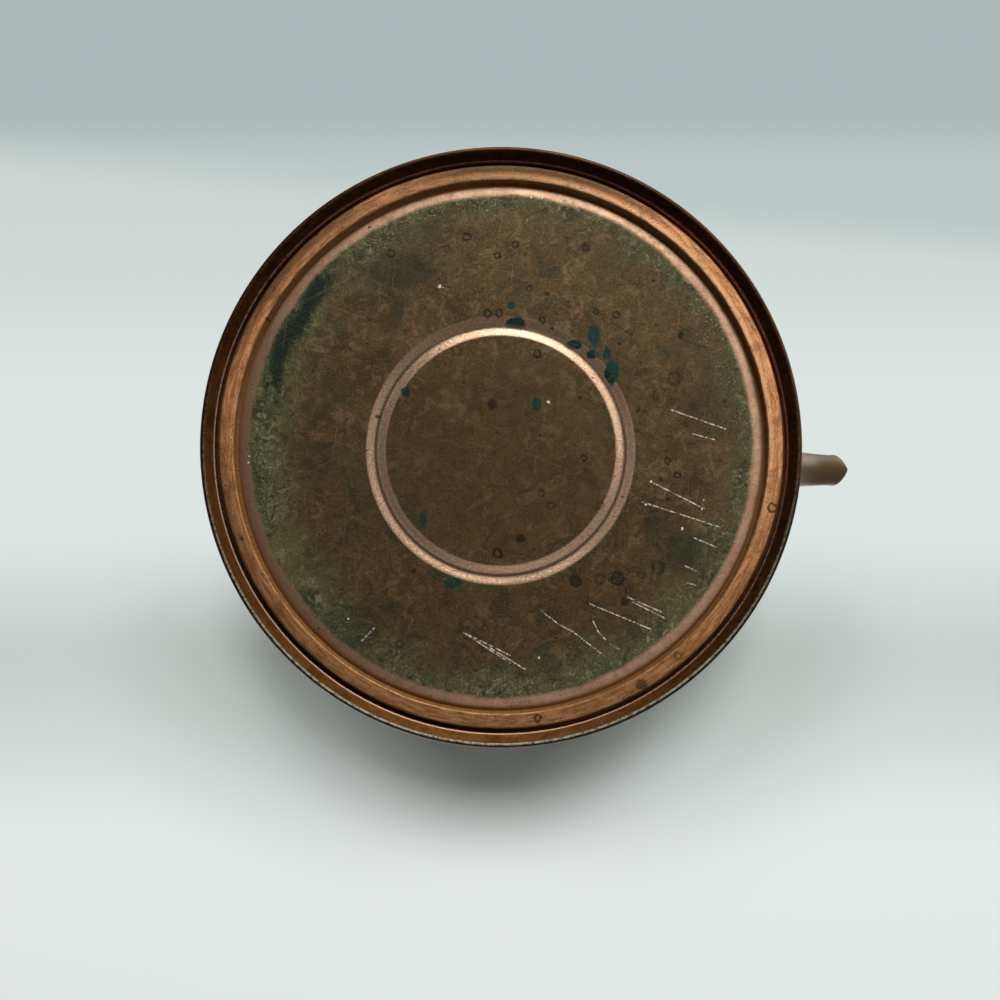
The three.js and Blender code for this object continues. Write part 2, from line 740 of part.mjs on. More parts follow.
function makeBail() {
  const legBottom = earPivotHeight + wireStart;
  const cornerZ = bailTopHeight - bailCornerRadius;
  const handle = bailCornerRadius * bailCornerShare;
  const at = (y, z) => new THREE.Vector3(0, y, z);
  const path = new THREE.CurvePath();
  path.add(new THREE.LineCurve3(at(-bailLegY, legBottom), at(-bailLegY, cornerZ)));
  path.add(
    new THREE.CubicBezierCurve3(
      at(-bailLegY, cornerZ),
      at(-bailLegY, cornerZ + handle),
      at(-bailCornerY - handle, bailTopHeight),
      at(-bailCornerY, bailTopHeight),
    ),
  );
  path.add(new THREE.LineCurve3(at(-bailCornerY, bailTopHeight), at(bailCornerY, bailTopHeight)));
  path.add(
    new THREE.CubicBezierCurve3(
      at(bailCornerY, bailTopHeight),
      at(bailCornerY + handle, bailTopHeight),
      at(bailLegY, cornerZ + handle),
      at(bailLegY, cornerZ),
    ),
  );
  path.add(new THREE.LineCurve3(at(bailLegY, cornerZ), at(bailLegY, legBottom)));
  const section = new THREE.Shape().absarc(0, 0, wireRadius, 0, Math.PI * 2, false);
  const wire = new THREE.ExtrudeGeometry(section, {
    steps: bailSteps,
    curveSegments: wireFacets / 2,
    extrudePath: path,
  });
  let bail = solidOf(wire);
  for (const side of [-1, 1]) bail = bail.add(makeEye(side));
  return bail;
}

function makeEye(side) {
  const faces = [eyeInnerFace, eyeInnerFace + eyeThickness].map((y) => side * y);
  const [low, high] = [Math.min(...faces), Math.max(...faces)];
  const axis = [0, earPivotHeight];
  const disc = barAlongY(eyeRadius, axis, low, high, tubeFacets);
  const tongue = block(
    [eyeTongueWidth, eyeThickness, eyeTongueLength],
    [0, (low + high) / 2, earPivotHeight + eyeTongueLength / 2],
  );
  const hole = barAlongY(pivotPinRadius + seatGap, axis, low - overrun, high + overrun);
  return disc.add(tongue).subtract(hole);
}

// Pieces threaded on the bail's straight top, made about +Z and laid along +Y
function onBailTop(profile) {
  const along = new THREE.Vector3(0, 1, 0);
  return solidOf(aimed(turnedGeometry(profile, tubeFacets), new THREE.Vector3(0, 0, bailTopHeight), along));
}

function makeGrip() {
  const bore = wireRadius + seatGap;
  const outside = gripProfileShares.map(([r, z]) => [r * gripRadius, (z - 1 / 2) * gripLength]);
  return onBailTop(closed([[bore, -gripLength / 2], ...outside, [bore, gripLength / 2]]));
}

function makeFerrule(side) {
  const bore = wireRadius + seatGap;
  const near = gripLength / 2 + seatGap;
  const far = ferruleEnd;
  const profile = [
    [bore, near],
    [ferruleRadius, near],
    [ferruleRadius, (near + far) / 2],
    [ferruleLipRadius, far],
    [bore, far],
  ];
  const placed = side > 0 ? profile : profile.map(([r, z]) => [r, -z]).reverse();
  return onBailTop(closed(placed));
}

// Finishes: colour, roughness and metalness of each kind of surface
const finishes = {
  agedCopper: { color: 0x8a5a3c, roughness: 0.42, metalness: 1 },
  wornBaseCopper: { color: 0x5c4634, roughness: 0.5, metalness: 0.9 },
  brightCopper: { color: 0xb8754c, roughness: 0.32, metalness: 1 },
  agedBrass: { color: 0xa98a4a, roughness: 0.38, metalness: 1 },
  darkIron: { color: 0x3a3430, roughness: 0.55, metalness: 0.9 },
  turnedWood: { color: 0x4a2c1a, roughness: 0.5, metalness: 0 },
};

const kettle = new THREE.Group();

function addPiece(name, solid, finish, parent = kettle) {
  const mesh = new THREE.Mesh(geometryOf(solid), new THREE.MeshStandardMaterial(finishes[finish]));
  mesh.name = name;
  parent.add(mesh);
  return mesh;
}

// Body and base
const wallSeats = [...hingeRivetSeats, ...earRivetSeats, ...earRivetSeats.map(halfTurned)];
const bodyShell = wallSeats.reduce((cut, seat) => cut.subtract(rivetHole(seat)), makeBody().subtract(spoutBore()));
addPiece("body_shell", bodyShell, "agedCopper");
addPiece("base_disc", makeBase(), "wornBaseCopper");
addPiece("spout", makeSpout(), "agedCopper");
addPiece("neck_collar", makeCollar(), "agedCopper");

// A rivet's seat on the other side of the kettle
function halfTurned({ place, direction }) {
  const turn = (v) => new THREE.Vector3(-v.x, -v.y, v.z);
  return { place: turn(place), direction: turn(direction) };
}

// Lid and knob
const lidShell = lidRivetSeats.reduce((cut, seat) => cut.subtract(rivetHole(seat)), makeLid());
addPiece("lid_shell", lidShell.subtract(screwClearance()), "agedCopper");
addPiece("lid_bezel", makeBezel(), "agedCopper");
addPiece("knob_rosette", makeRosette(), "brightCopper");
addPiece("lid_knob", makeKnob(), "agedBrass");
addPiece("knob_screw", makeScrew(), "agedBrass");
addPiece("knob_washer", makeWasher(), "agedBrass");

// Hinge
addPiece("hinge_body_leaf", makeBodyLeaf(), "agedBrass");
addPiece("hinge_lid_leaf", makeLidLeaf(), "agedBrass");
addPiece("hinge_pin", makeHingePin(), "agedBrass");
hingeRivetSeats.forEach((seat, i) =>
  addPiece("hinge_body_rivet_" + (i + 1), rivetAt(seat, hingeLeafThickness), "brightCopper"),
);
lidRivetSeats.forEach((seat, i) =>
  addPiece("hinge_lid_rivet_" + (i + 1), rivetAt(seat, hingeLeafThickness), "brightCopper"),
);

// Ears, their rivets and the bail's pivot pins
for (const [side, turn] of [
  ["left", 0],
  ["right", Math.PI],
]) {
  const group = new THREE.Group();
  group.rotation.z = turn;
  addPiece("ear_" + side, makeEar(), "agedBrass", group);
  addPiece("bail_pin_" + side, makePivotPin(), "agedBrass", group);
  earRivetSeats.forEach((seat, i) =>
    addPiece("ear_rivet_" + side + "_" + (i + 1), rivetAt(seat, earFootThickness), "brightCopper", group),
  );
  kettle.add(group);
}

// Bail
addPiece("bail_wire", makeBail(), "darkIron");
addPiece("bail_grip", makeGrip(), "turnedWood");
addPiece("bail_ferrule_left", makeFerrule(1), "agedBrass");
addPiece("bail_ferrule_right", makeFerrule(-1), "agedBrass");

export default kettle;
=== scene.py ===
"""An old copper kettle: pressed base, gooseneck spout, hinged lid and swinging bail.

Every piece is worked out in millimetres with numpy and put into its mesh in metres, in the frame's own
place: +Z up, spout towards +X, lid hinge at -X, bail ears at +Y and -Y, base panel's underside at z = 0.
"""

import functools
import math

import bpy
import numpy as np
from mathutils import Matrix, Vector


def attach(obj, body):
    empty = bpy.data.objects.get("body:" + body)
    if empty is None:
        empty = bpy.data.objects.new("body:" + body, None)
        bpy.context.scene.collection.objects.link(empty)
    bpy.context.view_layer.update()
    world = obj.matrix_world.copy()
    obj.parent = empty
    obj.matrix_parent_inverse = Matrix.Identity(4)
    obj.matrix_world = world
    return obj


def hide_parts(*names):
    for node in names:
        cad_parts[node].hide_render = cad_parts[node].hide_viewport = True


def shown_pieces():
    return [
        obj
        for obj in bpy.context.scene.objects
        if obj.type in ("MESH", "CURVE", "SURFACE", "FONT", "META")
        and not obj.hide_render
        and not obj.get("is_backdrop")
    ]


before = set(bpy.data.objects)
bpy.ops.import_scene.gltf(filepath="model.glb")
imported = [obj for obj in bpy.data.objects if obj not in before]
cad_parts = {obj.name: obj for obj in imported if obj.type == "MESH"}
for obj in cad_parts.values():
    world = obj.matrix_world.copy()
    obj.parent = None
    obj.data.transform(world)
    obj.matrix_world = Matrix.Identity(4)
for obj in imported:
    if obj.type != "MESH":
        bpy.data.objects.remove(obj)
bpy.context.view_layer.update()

MM = 0.001
TURN = 2 * math.pi
FLAT = (1.0, 1.0, 0.0)
SIDES = (("left", 1), ("right", -1))
NO_TRIS = np.zeros((0, 3), int)

# Sizes in millimetres, most of them the solid model's own
SHEET = 1.2
GAP = 0.3
RIM = 89.0
BULGE = 89.2
BULGE_Z = 20.0
DOME_RISE = 85.0
MOUTH = 43.0
FOOT_Z = -1.6
RING_AT = np.array([-0.1, 1.5])
RING_RADIUS, RING_WIDTH, RING_FLOOR, RING_DEPTH, PANEL_EDGE = 36.95, 5.7, 1.1, 0.5, 72.0
LIP_EDGE, LIP_SLOPE, CREST_ROUND = 84.7, math.radians(26), 0.9
COLLAR_IN, COLLAR_OUT, COLLAR_TOP = 43.4, 44.8, 100.5
LID_BASE, LID_BRIM_TOP, LID_RADIUS, LID_DOME, LID_RISE = 100.8, 102.0, 48.5, 41.0, 16.0
HINGE_X, HINGE_Z, KNUCKLE = -51.9, 103.05, 2.8
PIVOT_Z = 92.0
EAR_Y = 66.0
BAIL_Y, BAIL_TOP, BAIL_CORNER, WIRE = 69.9, 213.0, 27.0, 3.0
EYE, EYE_THICK = 6.4, 1.6

# Elliptical caps: radius, rise and height of the foot
BODY_CAP = (BULGE, DOME_RISE, BULGE_Z)
LID_CAP = (LID_DOME, LID_RISE, LID_BRIM_TOP)


# Surfaces


def in_scene(name, data):
    """A new object of the scene."""
    thing = bpy.data.objects.new(name, data)
    bpy.context.scene.collection.objects.link(thing)
    return thing


def mesh_of(name, shape):
    """A mesh of a shape: points in millimetres, and arrays of corner numbers for its quads and triangles."""
    points, quads, tris = shape
    mesh = bpy.data.meshes.new(name)
    loops = np.concatenate([quads.ravel(), tris.ravel()]).astype(np.int32)
    starts = np.concatenate([np.arange(len(quads)) * 4, len(quads) * 4 + np.arange(len(tris)) * 3])
    mesh.vertices.add(len(points))
    mesh.vertices.foreach_set("co", (points * MM).astype(np.float32).ravel())
    mesh.loops.add(len(loops))
    mesh.loops.foreach_set("vertex_index", loops)
    mesh.polygons.add(len(starts))
    mesh.polygons.foreach_set("loop_start", starts.astype(np.int32))
    mesh.update(calc_edges=True)
    mesh.validate()
    return mesh


def mesh_piece(name, shape, body, finish, slot, *stands_for):
    """One piece of the kettle, riding on a body and standing for nodes of the solid model."""
    mesh = mesh_of(name, shape)
    mesh.shade_smooth()
    piece = in_scene(name, mesh)
    for one in finish if isinstance(finish, tuple) else (finish,):
        mesh.materials.append(one)
    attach(piece, body)
    if stands_for:
        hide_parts(*stands_for)
    return piece


def second_finish(piece, chosen):
    """Gives the piece's second finish to its chosen faces."""
    piece.data.polygons.foreach_set("material_index", chosen.astype(np.int32))


def ease(t):
    """Nought below 0, one above 1, and 3t squared less 2t cubed between."""
    t = np.clip(t, 0, 1)
    return t * t * (3 - 2 * t)


def angles(columns):
    return np.arange(columns) * TURN / columns


def arc(centre, radius, start, end, steps):
    """Points of a circle's arc between two angles in degrees."""
    a = np.radians(np.linspace(start, end, steps))
    return np.stack([centre[0] + radius * np.cos(a), centre[1] + radius * np.sin(a)], axis=1)


def grid_faces(rows, columns, rows_close):
    """Quads of a grid whose columns run round and close; its rows close too where rows_close is true."""
    r, c = np.meshgrid(np.arange(rows if rows_close else rows - 1), np.arange(columns), indexing="ij")
    up, along = (r + 1) % rows, (c + 1) % columns
    corners = [r * columns + c, r * columns + along, up * columns + along, up * columns + c]
    return np.stack([k.ravel() for k in corners], axis=1)


def shell(grid, poles):
    """Points and faces of a grid (rows, columns, 3). Its rows form a loop, or end in two poles."""
    rows, columns, _ = grid.shape
    points = grid.reshape(-1, 3)
    quads = grid_faces(rows, columns, not poles)
    if not poles:
        return points, quads, NO_TRIS
    i = np.arange(columns)
    beside = (i + 1) % columns
    top = (rows - 1) * columns
    low_fan = np.stack([i * 0 + len(points), beside, i], axis=1)
    high_fan = np.stack([i * 0 + len(points) + 1, top + i, top + beside], axis=1)
    ends = np.stack([grid[0].mean(axis=0), grid[-1].mean(axis=0)])
    return np.concatenate([points, ends]), quads, np.concatenate([low_fan, high_fan])


def joined(*shells):
    """Several shells as one set of points and faces."""
    starts = np.cumsum([0] + [len(points) for points, _, _ in shells])
    points = np.concatenate([points for points, _, _ in shells])
    quads = np.concatenate([quads + start for (_, quads, _), start in zip(shells, starts)])
    tris = np.concatenate([tris + start for (_, _, tris), start in zip(shells, starts)])
    return points, quads, tris


def softened(corners, radius, steps=4, closed=False):
    """A polyline with each corner rounded: a quadratic curve from radius before it to radius after it."""
    p = np.asarray(corners, float)
    before, after = np.roll(p, 1, axis=0) - p, np.roll(p, -1, axis=0) - p
    gaps = [np.linalg.norm(way, axis=1, keepdims=True) for way in (before, after)]
    r = np.minimum(radius, np.minimum(*gaps) * 0.46)
    start, end = (p + way / np.maximum(gap, 1e-9) * r for way, gap in zip((before, after), gaps))
    t = np.linspace(0, 1, steps + 1)[None, :, None]
    curve = start[:, None] * (1 - t) ** 2 + p[:, None] * 2 * t * (1 - t) + end[:, None] * t**2
    if closed:
        return curve.reshape(-1, 2)
    return np.concatenate([p[:1], curve[1:-1].reshape(-1, 2), p[-1:]])


def divided(profile, longest):
    """The same polyline with its long edges divided into steps no longer than longest."""
    p = np.asarray(profile, float)
    lengths = np.linalg.norm(np.diff(p, axis=0), axis=1)
    pieces = np.maximum(np.ceil(lengths / longest), 1).astype(int)
    where = np.concatenate([i + np.arange(n) / n for i, n in enumerate(pieces)] + [[len(p) - 1]])
    return np.stack([np.interp(where, np.arange(len(p)), column) for column in p.T], axis=1)


def smooth_line(points, count):
    """A centripetal Catmull-Rom curve through the points, at even steps of its length."""
    p = np.asarray(points, float)
    p = np.concatenate([[2 * p[0] - p[1]], p, [2 * p[-1] - p[-2]]])
    t = np.linspace(0, 1, 80, endpoint=False)[:, None]
    runs = []
    for a, b, c, d in zip(p[:-3], p[1:-2], p[2:-1], p[3:]):
        ta, tb, tc = (np.linalg.norm(v) ** 0.5 for v in (b - a, c - b, d - c))
        leave = ((b - a) / ta - (c - a) / (ta + tb) + (c - b) / tb) * tb
        arrive = ((c - b) / tb - (d - b) / (tb + tc) + (d - c) / tc) * tb
        cubed, squared = 2 * b - 2 * c + leave + arrive, -3 * b + 3 * c - 2 * leave - arrive
        runs.append(cubed * t**3 + squared * t**2 + leave * t + b)
    line = np.concatenate(runs + [[p[-2]]])
    walked = np.concatenate([[0], np.cumsum(np.linalg.norm(np.diff(line, axis=0), axis=1))])
    even = np.linspace(0, walked[-1], count)
    return np.stack([np.interp(even, walked, column) for column in line.T], axis=1), even


def squares(line):
    """Unit directions square to a flat line, on its left."""
    along = np.gradient(line, axis=0)
    along /= np.linalg.norm(along, axis=1, keepdims=True)
    return np.stack([-along[:, 1], along[:, 0]], axis=1)


def turned(profile, columns, poles=True):
    """A profile of (radius, height) carried round the Z axis: x = r cos a, y = r sin a, z = height."""
    a = angles(columns)
    r, z = np.asarray(profile, float).T[:, :, None]
    return shell(np.stack([r * np.cos(a), r * np.sin(a), z + 0 * a], axis=2), poles)


def aimed(shape, place, direction):
    """A shape made about +Z at the origin, turned so that +Z points along direction, and moved to place."""
    points, quads, tris = shape
    turn = np.array(Vector((0, 0, 1)).rotation_difference(Vector(direction)).to_matrix())
    return points @ turn.T + np.asarray(place, float), quads, tris


def on_cap(x, y, cap):
    """A point on an elliptical cap, z = foot + rise sqrt(1 - (x squared + y squared) / radius squared), and
    the unit direction square to the cap there, for numbers or arrays of x and y."""
    radius, rise, foot = cap
    height = rise * np.sqrt(np.maximum(1 - (x**2 + y**2) / radius**2, 1e-4))
    n = np.stack([x / radius**2, y / radius**2, height / rise**2], axis=-1)
    n /= np.linalg.norm(n, axis=-1, keepdims=True)
    return np.stack([x, y, foot + height], axis=-1), n


def slab(outline, middle, half_thick, edge, place):
    """A flat plate with rounded edges. Rings of its outline shrink towards its middle and step through its
    thickness: face, quarter round, side, quarter round, face. place turns (u, v, w) into x, y, z."""
    turn = np.linspace(0, math.pi / 2, 5)
    away = outline - np.array(middle)
    size = np.linalg.norm(away, axis=1)
    shares = [size * 0 + share for share in (1e-3, 0.35, 0.7)]
    shares += [1 - inset / size for inset in edge * (1 - np.sin(turn))]
    under = np.concatenate([[-half_thick] * 3, edge * (1 - np.cos(turn)) - half_thick])
    u, v = np.moveaxis(middle + away * np.array(shares + shares[::-1])[..., None], -1, 0)
    w = np.concatenate([under, -under[::-1]])[:, None] + 0 * u
    return shell(place(u, v, w), True)


def rounded_outline(corners, radius, longest=1.5):
    """A closed outline with rounded corners, anticlockwise, divided evenly enough for a curved seat."""
    line = softened(corners, radius, 6, closed=True)
    return divided(np.concatenate([line, line[:1]]), longest)[:-1]


# Shading


class Bench:
    """The node tree that is being filled."""

    tree = None


class Value:
    """One output of a node. Arithmetic with it adds math nodes to the tree that is being filled."""

    def __init__(self, socket):
        self.socket = socket

    def __add__(self, other):
        return maths("ADD", self, other)

    def __sub__(self, other):
        return maths("SUBTRACT", self, other)

    def __rsub__(self, other):
        return maths("SUBTRACT", other, self)

    def __mul__(self, other):
        return maths("MULTIPLY", self, other)

    def __truediv__(self, other):
        return maths("DIVIDE", self, other)

    def __abs__(self):
        return maths("ABSOLUTE", self)


class Outputs:
    """The outputs of a node, by name or number."""

    def __init__(self, made):
        self.sockets = made.outputs

    def __getitem__(self, key):
        return Value(self.sockets[key])


def put(socket, value):
    """Gives a socket a constant, or links a value to it."""
    if isinstance(value, Value):
        Bench.tree.links.new(value.socket, socket)
    elif isinstance(value, tuple) and len(value) == 3 and socket.type == "RGBA":
        socket.default_value = (*value, 1)
    else:
        socket.default_value = value


def node(kind, sockets=(), **settings):
    """The outputs of a new node, made with its settings and with values for its named or numbered sockets."""
    made = Bench.tree.nodes.new("ShaderNode" + kind)
    for key, value in settings.items():
        setattr(made, key, value)
    for key, value in dict(sockets).items():
        put(made.inputs[key], value)
    return Outputs(made)


def maths(operation, *values, clamp=False):
    return node("Math", enumerate(values), operation=operation, use_clamp=clamp)[0]


def vectors(operation, *values, out="Vector"):
    return node("VectorMath", enumerate(values), operation=operation)[out]


def length(vector):
    return vectors("LENGTH", vector, out="Value")


def parts(vector):
    return node("SeparateXYZ", {0: vector})


def highest(*values):
    return functools.reduce(lambda a, b: maths("MAXIMUM", a, b), values)


def lowest(*values):
    return functools.reduce(lambda a, b: maths("MINIMUM", a, b), values)


def noise(place, scale, detail=3.0, rough=0.5, bent=0.0, out=0):
    sockets = {"Vector": place, "Scale": scale, "Detail": detail, "Roughness": rough, "Distortion": bent}
    return node("TexNoise", sockets)[out]


def fade(value, low, high, start=0.0, end=1.0):
    """A soft step: start below low, end above high."""
    sockets = {"Value": value, "From Min": low, "From Max": high, "To Min": start, "To Max": end}
    return node("MapRange", sockets, interpolation_type="SMOOTHSTEP")[0]


def band(value, low, high, soft):
    """One between low and high and nought outside, with soft edges."""
    return fade(value, low - soft, low + soft) * fade(value, high - soft, high + soft, 1.0, 0.0)


def mixed(share, first, second):
    return node("Mix", {0: share, 6: first, 7: second}, data_type="RGBA")[2]


def blended(share, first, second):
    return node("Mix", {0: share, 2: first, 3: second}, data_type="FLOAT")[0]


def start_group(name, **sockets):
    """Starts a node group that takes Place and the other named values, and gives its inputs."""
    Bench.tree = bpy.data.node_groups.new(name, "ShaderNodeTree")
    for label, value in {"Place": (0, 0, 0), **sockets}.items():
        kind = "NodeSocketFloat" if isinstance(value, float) else "NodeSocketVector"
        Bench.tree.interface.new_socket(label, in_out="INPUT", socket_type=kind).default_value = value
    return Outputs(Bench.tree.nodes.new("NodeGroupInput"))


def end_group(**results):
    """Gives the group that is being filled its named outputs, and returns it."""
    for label in results:
        Bench.tree.interface.new_socket(label, in_out="OUTPUT", socket_type="NodeSocketFloat")
    ends = Bench.tree.nodes.new("NodeGroupOutput").inputs
    for label, value in results.items():
        put(ends[label], value)
    return Bench.tree


def use(effect, **sockets):
    """The outputs of a group that is placed in the tree that is being filled."""
    return node("Group", sockets, node_tree=effect)


def make_mottle():
    """Cloudy oxide: wide blotches broken up by finer ones, as a mask from 0 to 1."""
    i = start_group("mottle", Blotch=0.08, Contrast=0.5)
    wide = noise(i["Place"], i["Blotch"], 4.0, 0.55, 0.6)
    fine = noise(i["Place"], i["Blotch"] * 11.0, 3.0, 0.6)
    mask = fade(fine * 0.35 + wide * 0.65, i["Contrast"] * -0.5 + 0.5, i["Contrast"] * 0.5 + 0.5)
    return end_group(Mask=mask, Fine=fine)


def make_pits():
    """Small round pits: a Share of a cell pattern's cells has one in its middle, in differing sizes."""
    i = start_group("pits", Scale=0.5, Share=0.3, Size=0.25)
    cells = node("TexVoronoi", {"Vector": i["Place"], "Scale": i["Scale"]})
    tone = node("SeparateColor", {0: cells["Color"]})
    chosen = maths("LESS_THAN", tone[0], i["Share"])
    near = cells["Distance"] / (i["Size"] * (tone[1] * 0.8 + 0.4))
    return end_group(Mask=chosen * fade(near, 0.5, 1.1, 1.0, 0.0))


def make_swept():
    """Marks that run round the axis: noise over direction and over radius plus height. Turns sets how many
    go round, and Fine how thin they are."""
    i = start_group("swept", Turns=16.0, Fine=1.7)
    flat = vectors("MULTIPLY", i["Place"], FLAT)
    level = length(flat) + parts(i["Place"])[2]
    across = node("CombineXYZ", {2: level * i["Fine"]})[0]
    round_it = vectors("MULTIPLY", vectors("NORMALIZE", flat), i["Turns"])
    value = noise(vectors("ADD", round_it, across), 1.0, 3.0, 0.6)
    return end_group(Mask=fade(value, 0.35, 0.65), Value=value)


def make_hairlines():
    """Fine rubbing marks: noise stretched forty to one along three crossing directions."""
    i = start_group("hairlines", Scale=0.5, Amount=0.5)
    marks = []
    for turn, shift in ((0.5, 3.0), (-0.35, 40.0), (1.45, 90.0)):
        sockets = {"Vector": i["Place"], "Rotation": (0, 0, turn), "Location": (shift, 0, 0)}
        stretched = vectors("MULTIPLY", node("Mapping", sockets)[0], (0.05, 2.4, 0.6))
        marks.append(fade(noise(stretched, i["Scale"], 3.0, 0.7), 0.6, 0.74))
    return end_group(Mask=highest(*marks) * i["Amount"])


def make_stroke():
    """Distance from a straight scratch. Along and Across are unit vectors, Middle holds the scratch's middle
    measured along both, and Half is half its length: the larger of the overshoot and the offset."""
    i = start_group("stroke", Along=(1, 0, 0), Across=(0, 1, 0), Middle=(0, 0, 0), Half=1.0)
    middle = parts(i["Middle"])
    run, aside = (vectors("DOT_PRODUCT", i["Place"], i[way], out="Value") for way in ("Along", "Across"))
    return end_group(Distance=highest(abs(run - middle[0]) - i["Half"], abs(aside - middle[1])))


def make_blot():
    """Distance from At in shares of Reach, which may differ along x and y."""
    i = start_group("blot", At=(0, 0, 0), Reach=(1, 1, 1))
    return end_group(Distance=length(vectors("DIVIDE", vectors("SUBTRACT", i["Place"], i["At"]), i["Reach"])))


def make_circle():
    """Distance from At in shares of one Reach."""
    i = start_group("circle", At=(0, 0, 0), Reach=1.0)
    return end_group(Distance=vectors("DISTANCE", i["Place"], i["At"], out="Value") / i["Reach"])


mottle, pits, hairlines, swept = make_mottle(), make_pits(), make_hairlines(), make_swept()
stroke, blot, circle = make_stroke(), make_blot(), make_circle()


def own_millimetres():
    return vectors("MULTIPLY", node("TexCoord")["Object"], (1 / MM,) * 3)


def new_material(name):
    """An empty material, its Principled shader, and the object's own millimetres."""
    material = bpy.data.materials.new(name)
    material.use_nodes = True
    Bench.tree = material.node_tree
    return material, Bench.tree.nodes["Principled BSDF"], own_millimetres()


def finish(shader, colour, metal, rough, height, depth, strength):
    """Gives a shader its colour, metal and roughness, and a bump that is depth millimetres deep."""
    bump = node("Bump", {"Height": height, "Distance": depth * MM, "Strength": strength})[0]
    for label, value in (("Base Color", colour), ("Metallic", metal), ("Roughness", rough), ("Normal", bump)):
        put(shader.inputs[label], value)


def flat_radius(place, centre=(0.0, 0.0)):
    """Distance from an upright axis."""
    return length(vectors("MULTIPLY", vectors("SUBTRACT", place, (*centre, 0.0)), FLAT))


def facing(place, degrees, width):
    """One where the direction from the axis is at an angle, fading to nought at width degrees from it."""
    a = math.radians(degrees)
    unit = vectors("NORMALIZE", vectors("MULTIPLY", place, FLAT))
    cosine = vectors("DOT_PRODUCT", unit, (math.cos(a), math.sin(a), 0.0), out="Value")
    return fade(cosine, math.cos(math.radians(width)), 1.0)


# Finishes

# Scratches on the panel: both ends in x and y
SCRATCHES = [
    (44.5, 10.9, 60.0, 18.8), (41.9, 16.9, 64.5, 24.2), (57.0, 27.4, 63.6, 30.2),
    (54.4, 35.7, 57.7, 37.2), (55.1, 40.7, 57.4, 41.4), (37.4, 44.9, 47.8, 49.5),
    (26.3, 46.9, 44.1, 54.3), (27.2, 52.0, 28.6, 55.0), (28.6, 55.0, 30.8, 57.4),
    (11.9, 49.0, 17.5, 53.2), (17.5, 53.2, 21.1, 55.0), (21.1, 55.0, 29.3, 61.3),
    (32.3, 58.8, 34.8, 60.2), (-3.2, 59.8, 7.1, 66.1), (-11.0, 55.3, 2.7, 62.0),
    (-11.0, 55.3, 2.7, 64.3), (50.7, -10.4, 66.5, -4.8), (57.0, -3.3, 63.3, -1.6),
    (-41.0, 57.7, -37.3, 53.9), (38.9, 46.4, 48.1, 51.0),
]
# Verdigris spots: x, y, reach along x, reach along y
VERDIGRIS = [
    (4.5, -36.4, 3.1, 1.8), (21.8, -29.9, 2.6, 1.5), (27.7, -32.7, 1.7, 3.4), (27.2, -26.9, 1.8, 1.5),
    (31.3, -27.3, 1.3, 1.8), (32.8, -21.5, 2.1, 3.9), (10.6, -12.1, 1.5, 1.9), (-28.3, -15.8, 1.3, 1.4),
    (-22.8, 22.1, 1.1, 2.4), (-14.1, 40.6, 2.6, 1.4), (3.1, -41.6, 1.1, 1.1),
]
# Round stains with a dark outline, fainter ones, and dark spots: x, y, reach
RINGS = [
    (28.2, -39.6, 0.85), (34.3, -38.6, 0.9), (10.8, -27.0, 1.0), (4.3, -59.8, 1.0), (-1.0, -56.4, 0.9),
    (8.3, -46.5, 0.8), (12.2, -37.2, 0.9), (-32.8, -57.2, 1.1), (-10.3, -62.0, 1.1), (-4.0, -39.2, 1.1),
    (-0.6, -39.2, 1.1), (52.2, 8.9, 0.9), (49.3, 4.8, 0.9), (21.9, 40.1, 1.5), (34.3, 39.6, 1.8),
    (-1.0, 32.1, 1.3), (24.5, 4.0, 0.8), (10.8, 80.3, 1.0), (79.9, 18.6, 1.3),
]
FAINT_RINGS = [
    (51.4, -19.6, 1.9), (45.9, -14.3, 1.1), (54.7, -6.2, 0.8), (-16.4, -58.6, 0.9), (-24.5, -52.9, 1.1),
    (-13.2, -27.8, 1.4), (29.3, 39.6, 1.5), (32.3, 39.2, 1.2), (46.3, 36.3, 1.9), (41.4, 38.4, 1.0),
    (37.4, 42.9, 0.8), (14.9, 18.0, 1.2), (11.8, 14.3, 1.0), (29.3, 18.0, 1.0), (51.8, 61.9, 1.2),
    (-29.8, 58.8, 1.2), (-4.7, 53.9, 1.0),
]
DARK_SPOTS = [
    (66.2, -12.8, 0.6), (53.2, -32.5, 1.2), (25.2, -58.9, 1.7), (13.9, -45.0, 0.7), (15.1, -34.9, 0.6),
    (35.1, -30.2, 0.6), (45.2, -48.9, 0.6), (23.5, -14.0, 0.6), (-36.5, -8.6, 0.9), (49.3, 16.2, 0.7),
    (36.4, 46.4, 1.5), (5.9, 27.5, 1.5), (73.9, 39.9, 1.0), (41.1, 70.3, 1.9), (-25.8, 37.3, 0.9),
    (-76.1, 27.7, 0.7), (-28.0, -15.2, 1.1), (-2.5, -11.9, 1.8), (47.3, 10.3, 0.7), (21.9, 40.1, 1.1),
    (34.3, 39.6, 1.1),
]
LIGHT_SPECKS = [
    (-18.0, -47.4, 0.85), (-17.0, -47.0, 0.4), (-74.7, 3.1, 0.5), (-74.7, 5.2, 0.5), (-45.1, 51.3, 0.5),
    (53.5, 24.8, 0.75), (44.5, 10.9, 0.75), (14.1, -12.8, 0.7), (8.9, -74.0, 0.6), (12.4, -73.8, 0.5),
    (11.2, 62.8, 0.5), (60.0, 16.0, 0.5), (59.2, 19.0, 0.4), (42.7, 17.5, 0.6),
]


def round_marks(place, marks):
    """Distance, in shares of its reach, from the nearest of several round marks."""
    found = [use(circle, Place=place, At=(x, y, 0), Reach=reach) for x, y, reach in marks]
    return lowest(*[one["Distance"] for one in found])


def blots(place, marks):
    """The same for marks with a reach along x and another along y."""
    found = [use(blot, Place=place, At=(x, y, 0), Reach=(a, b, 1)) for x, y, a, b in marks]
    return lowest(*[one["Distance"] for one in found])


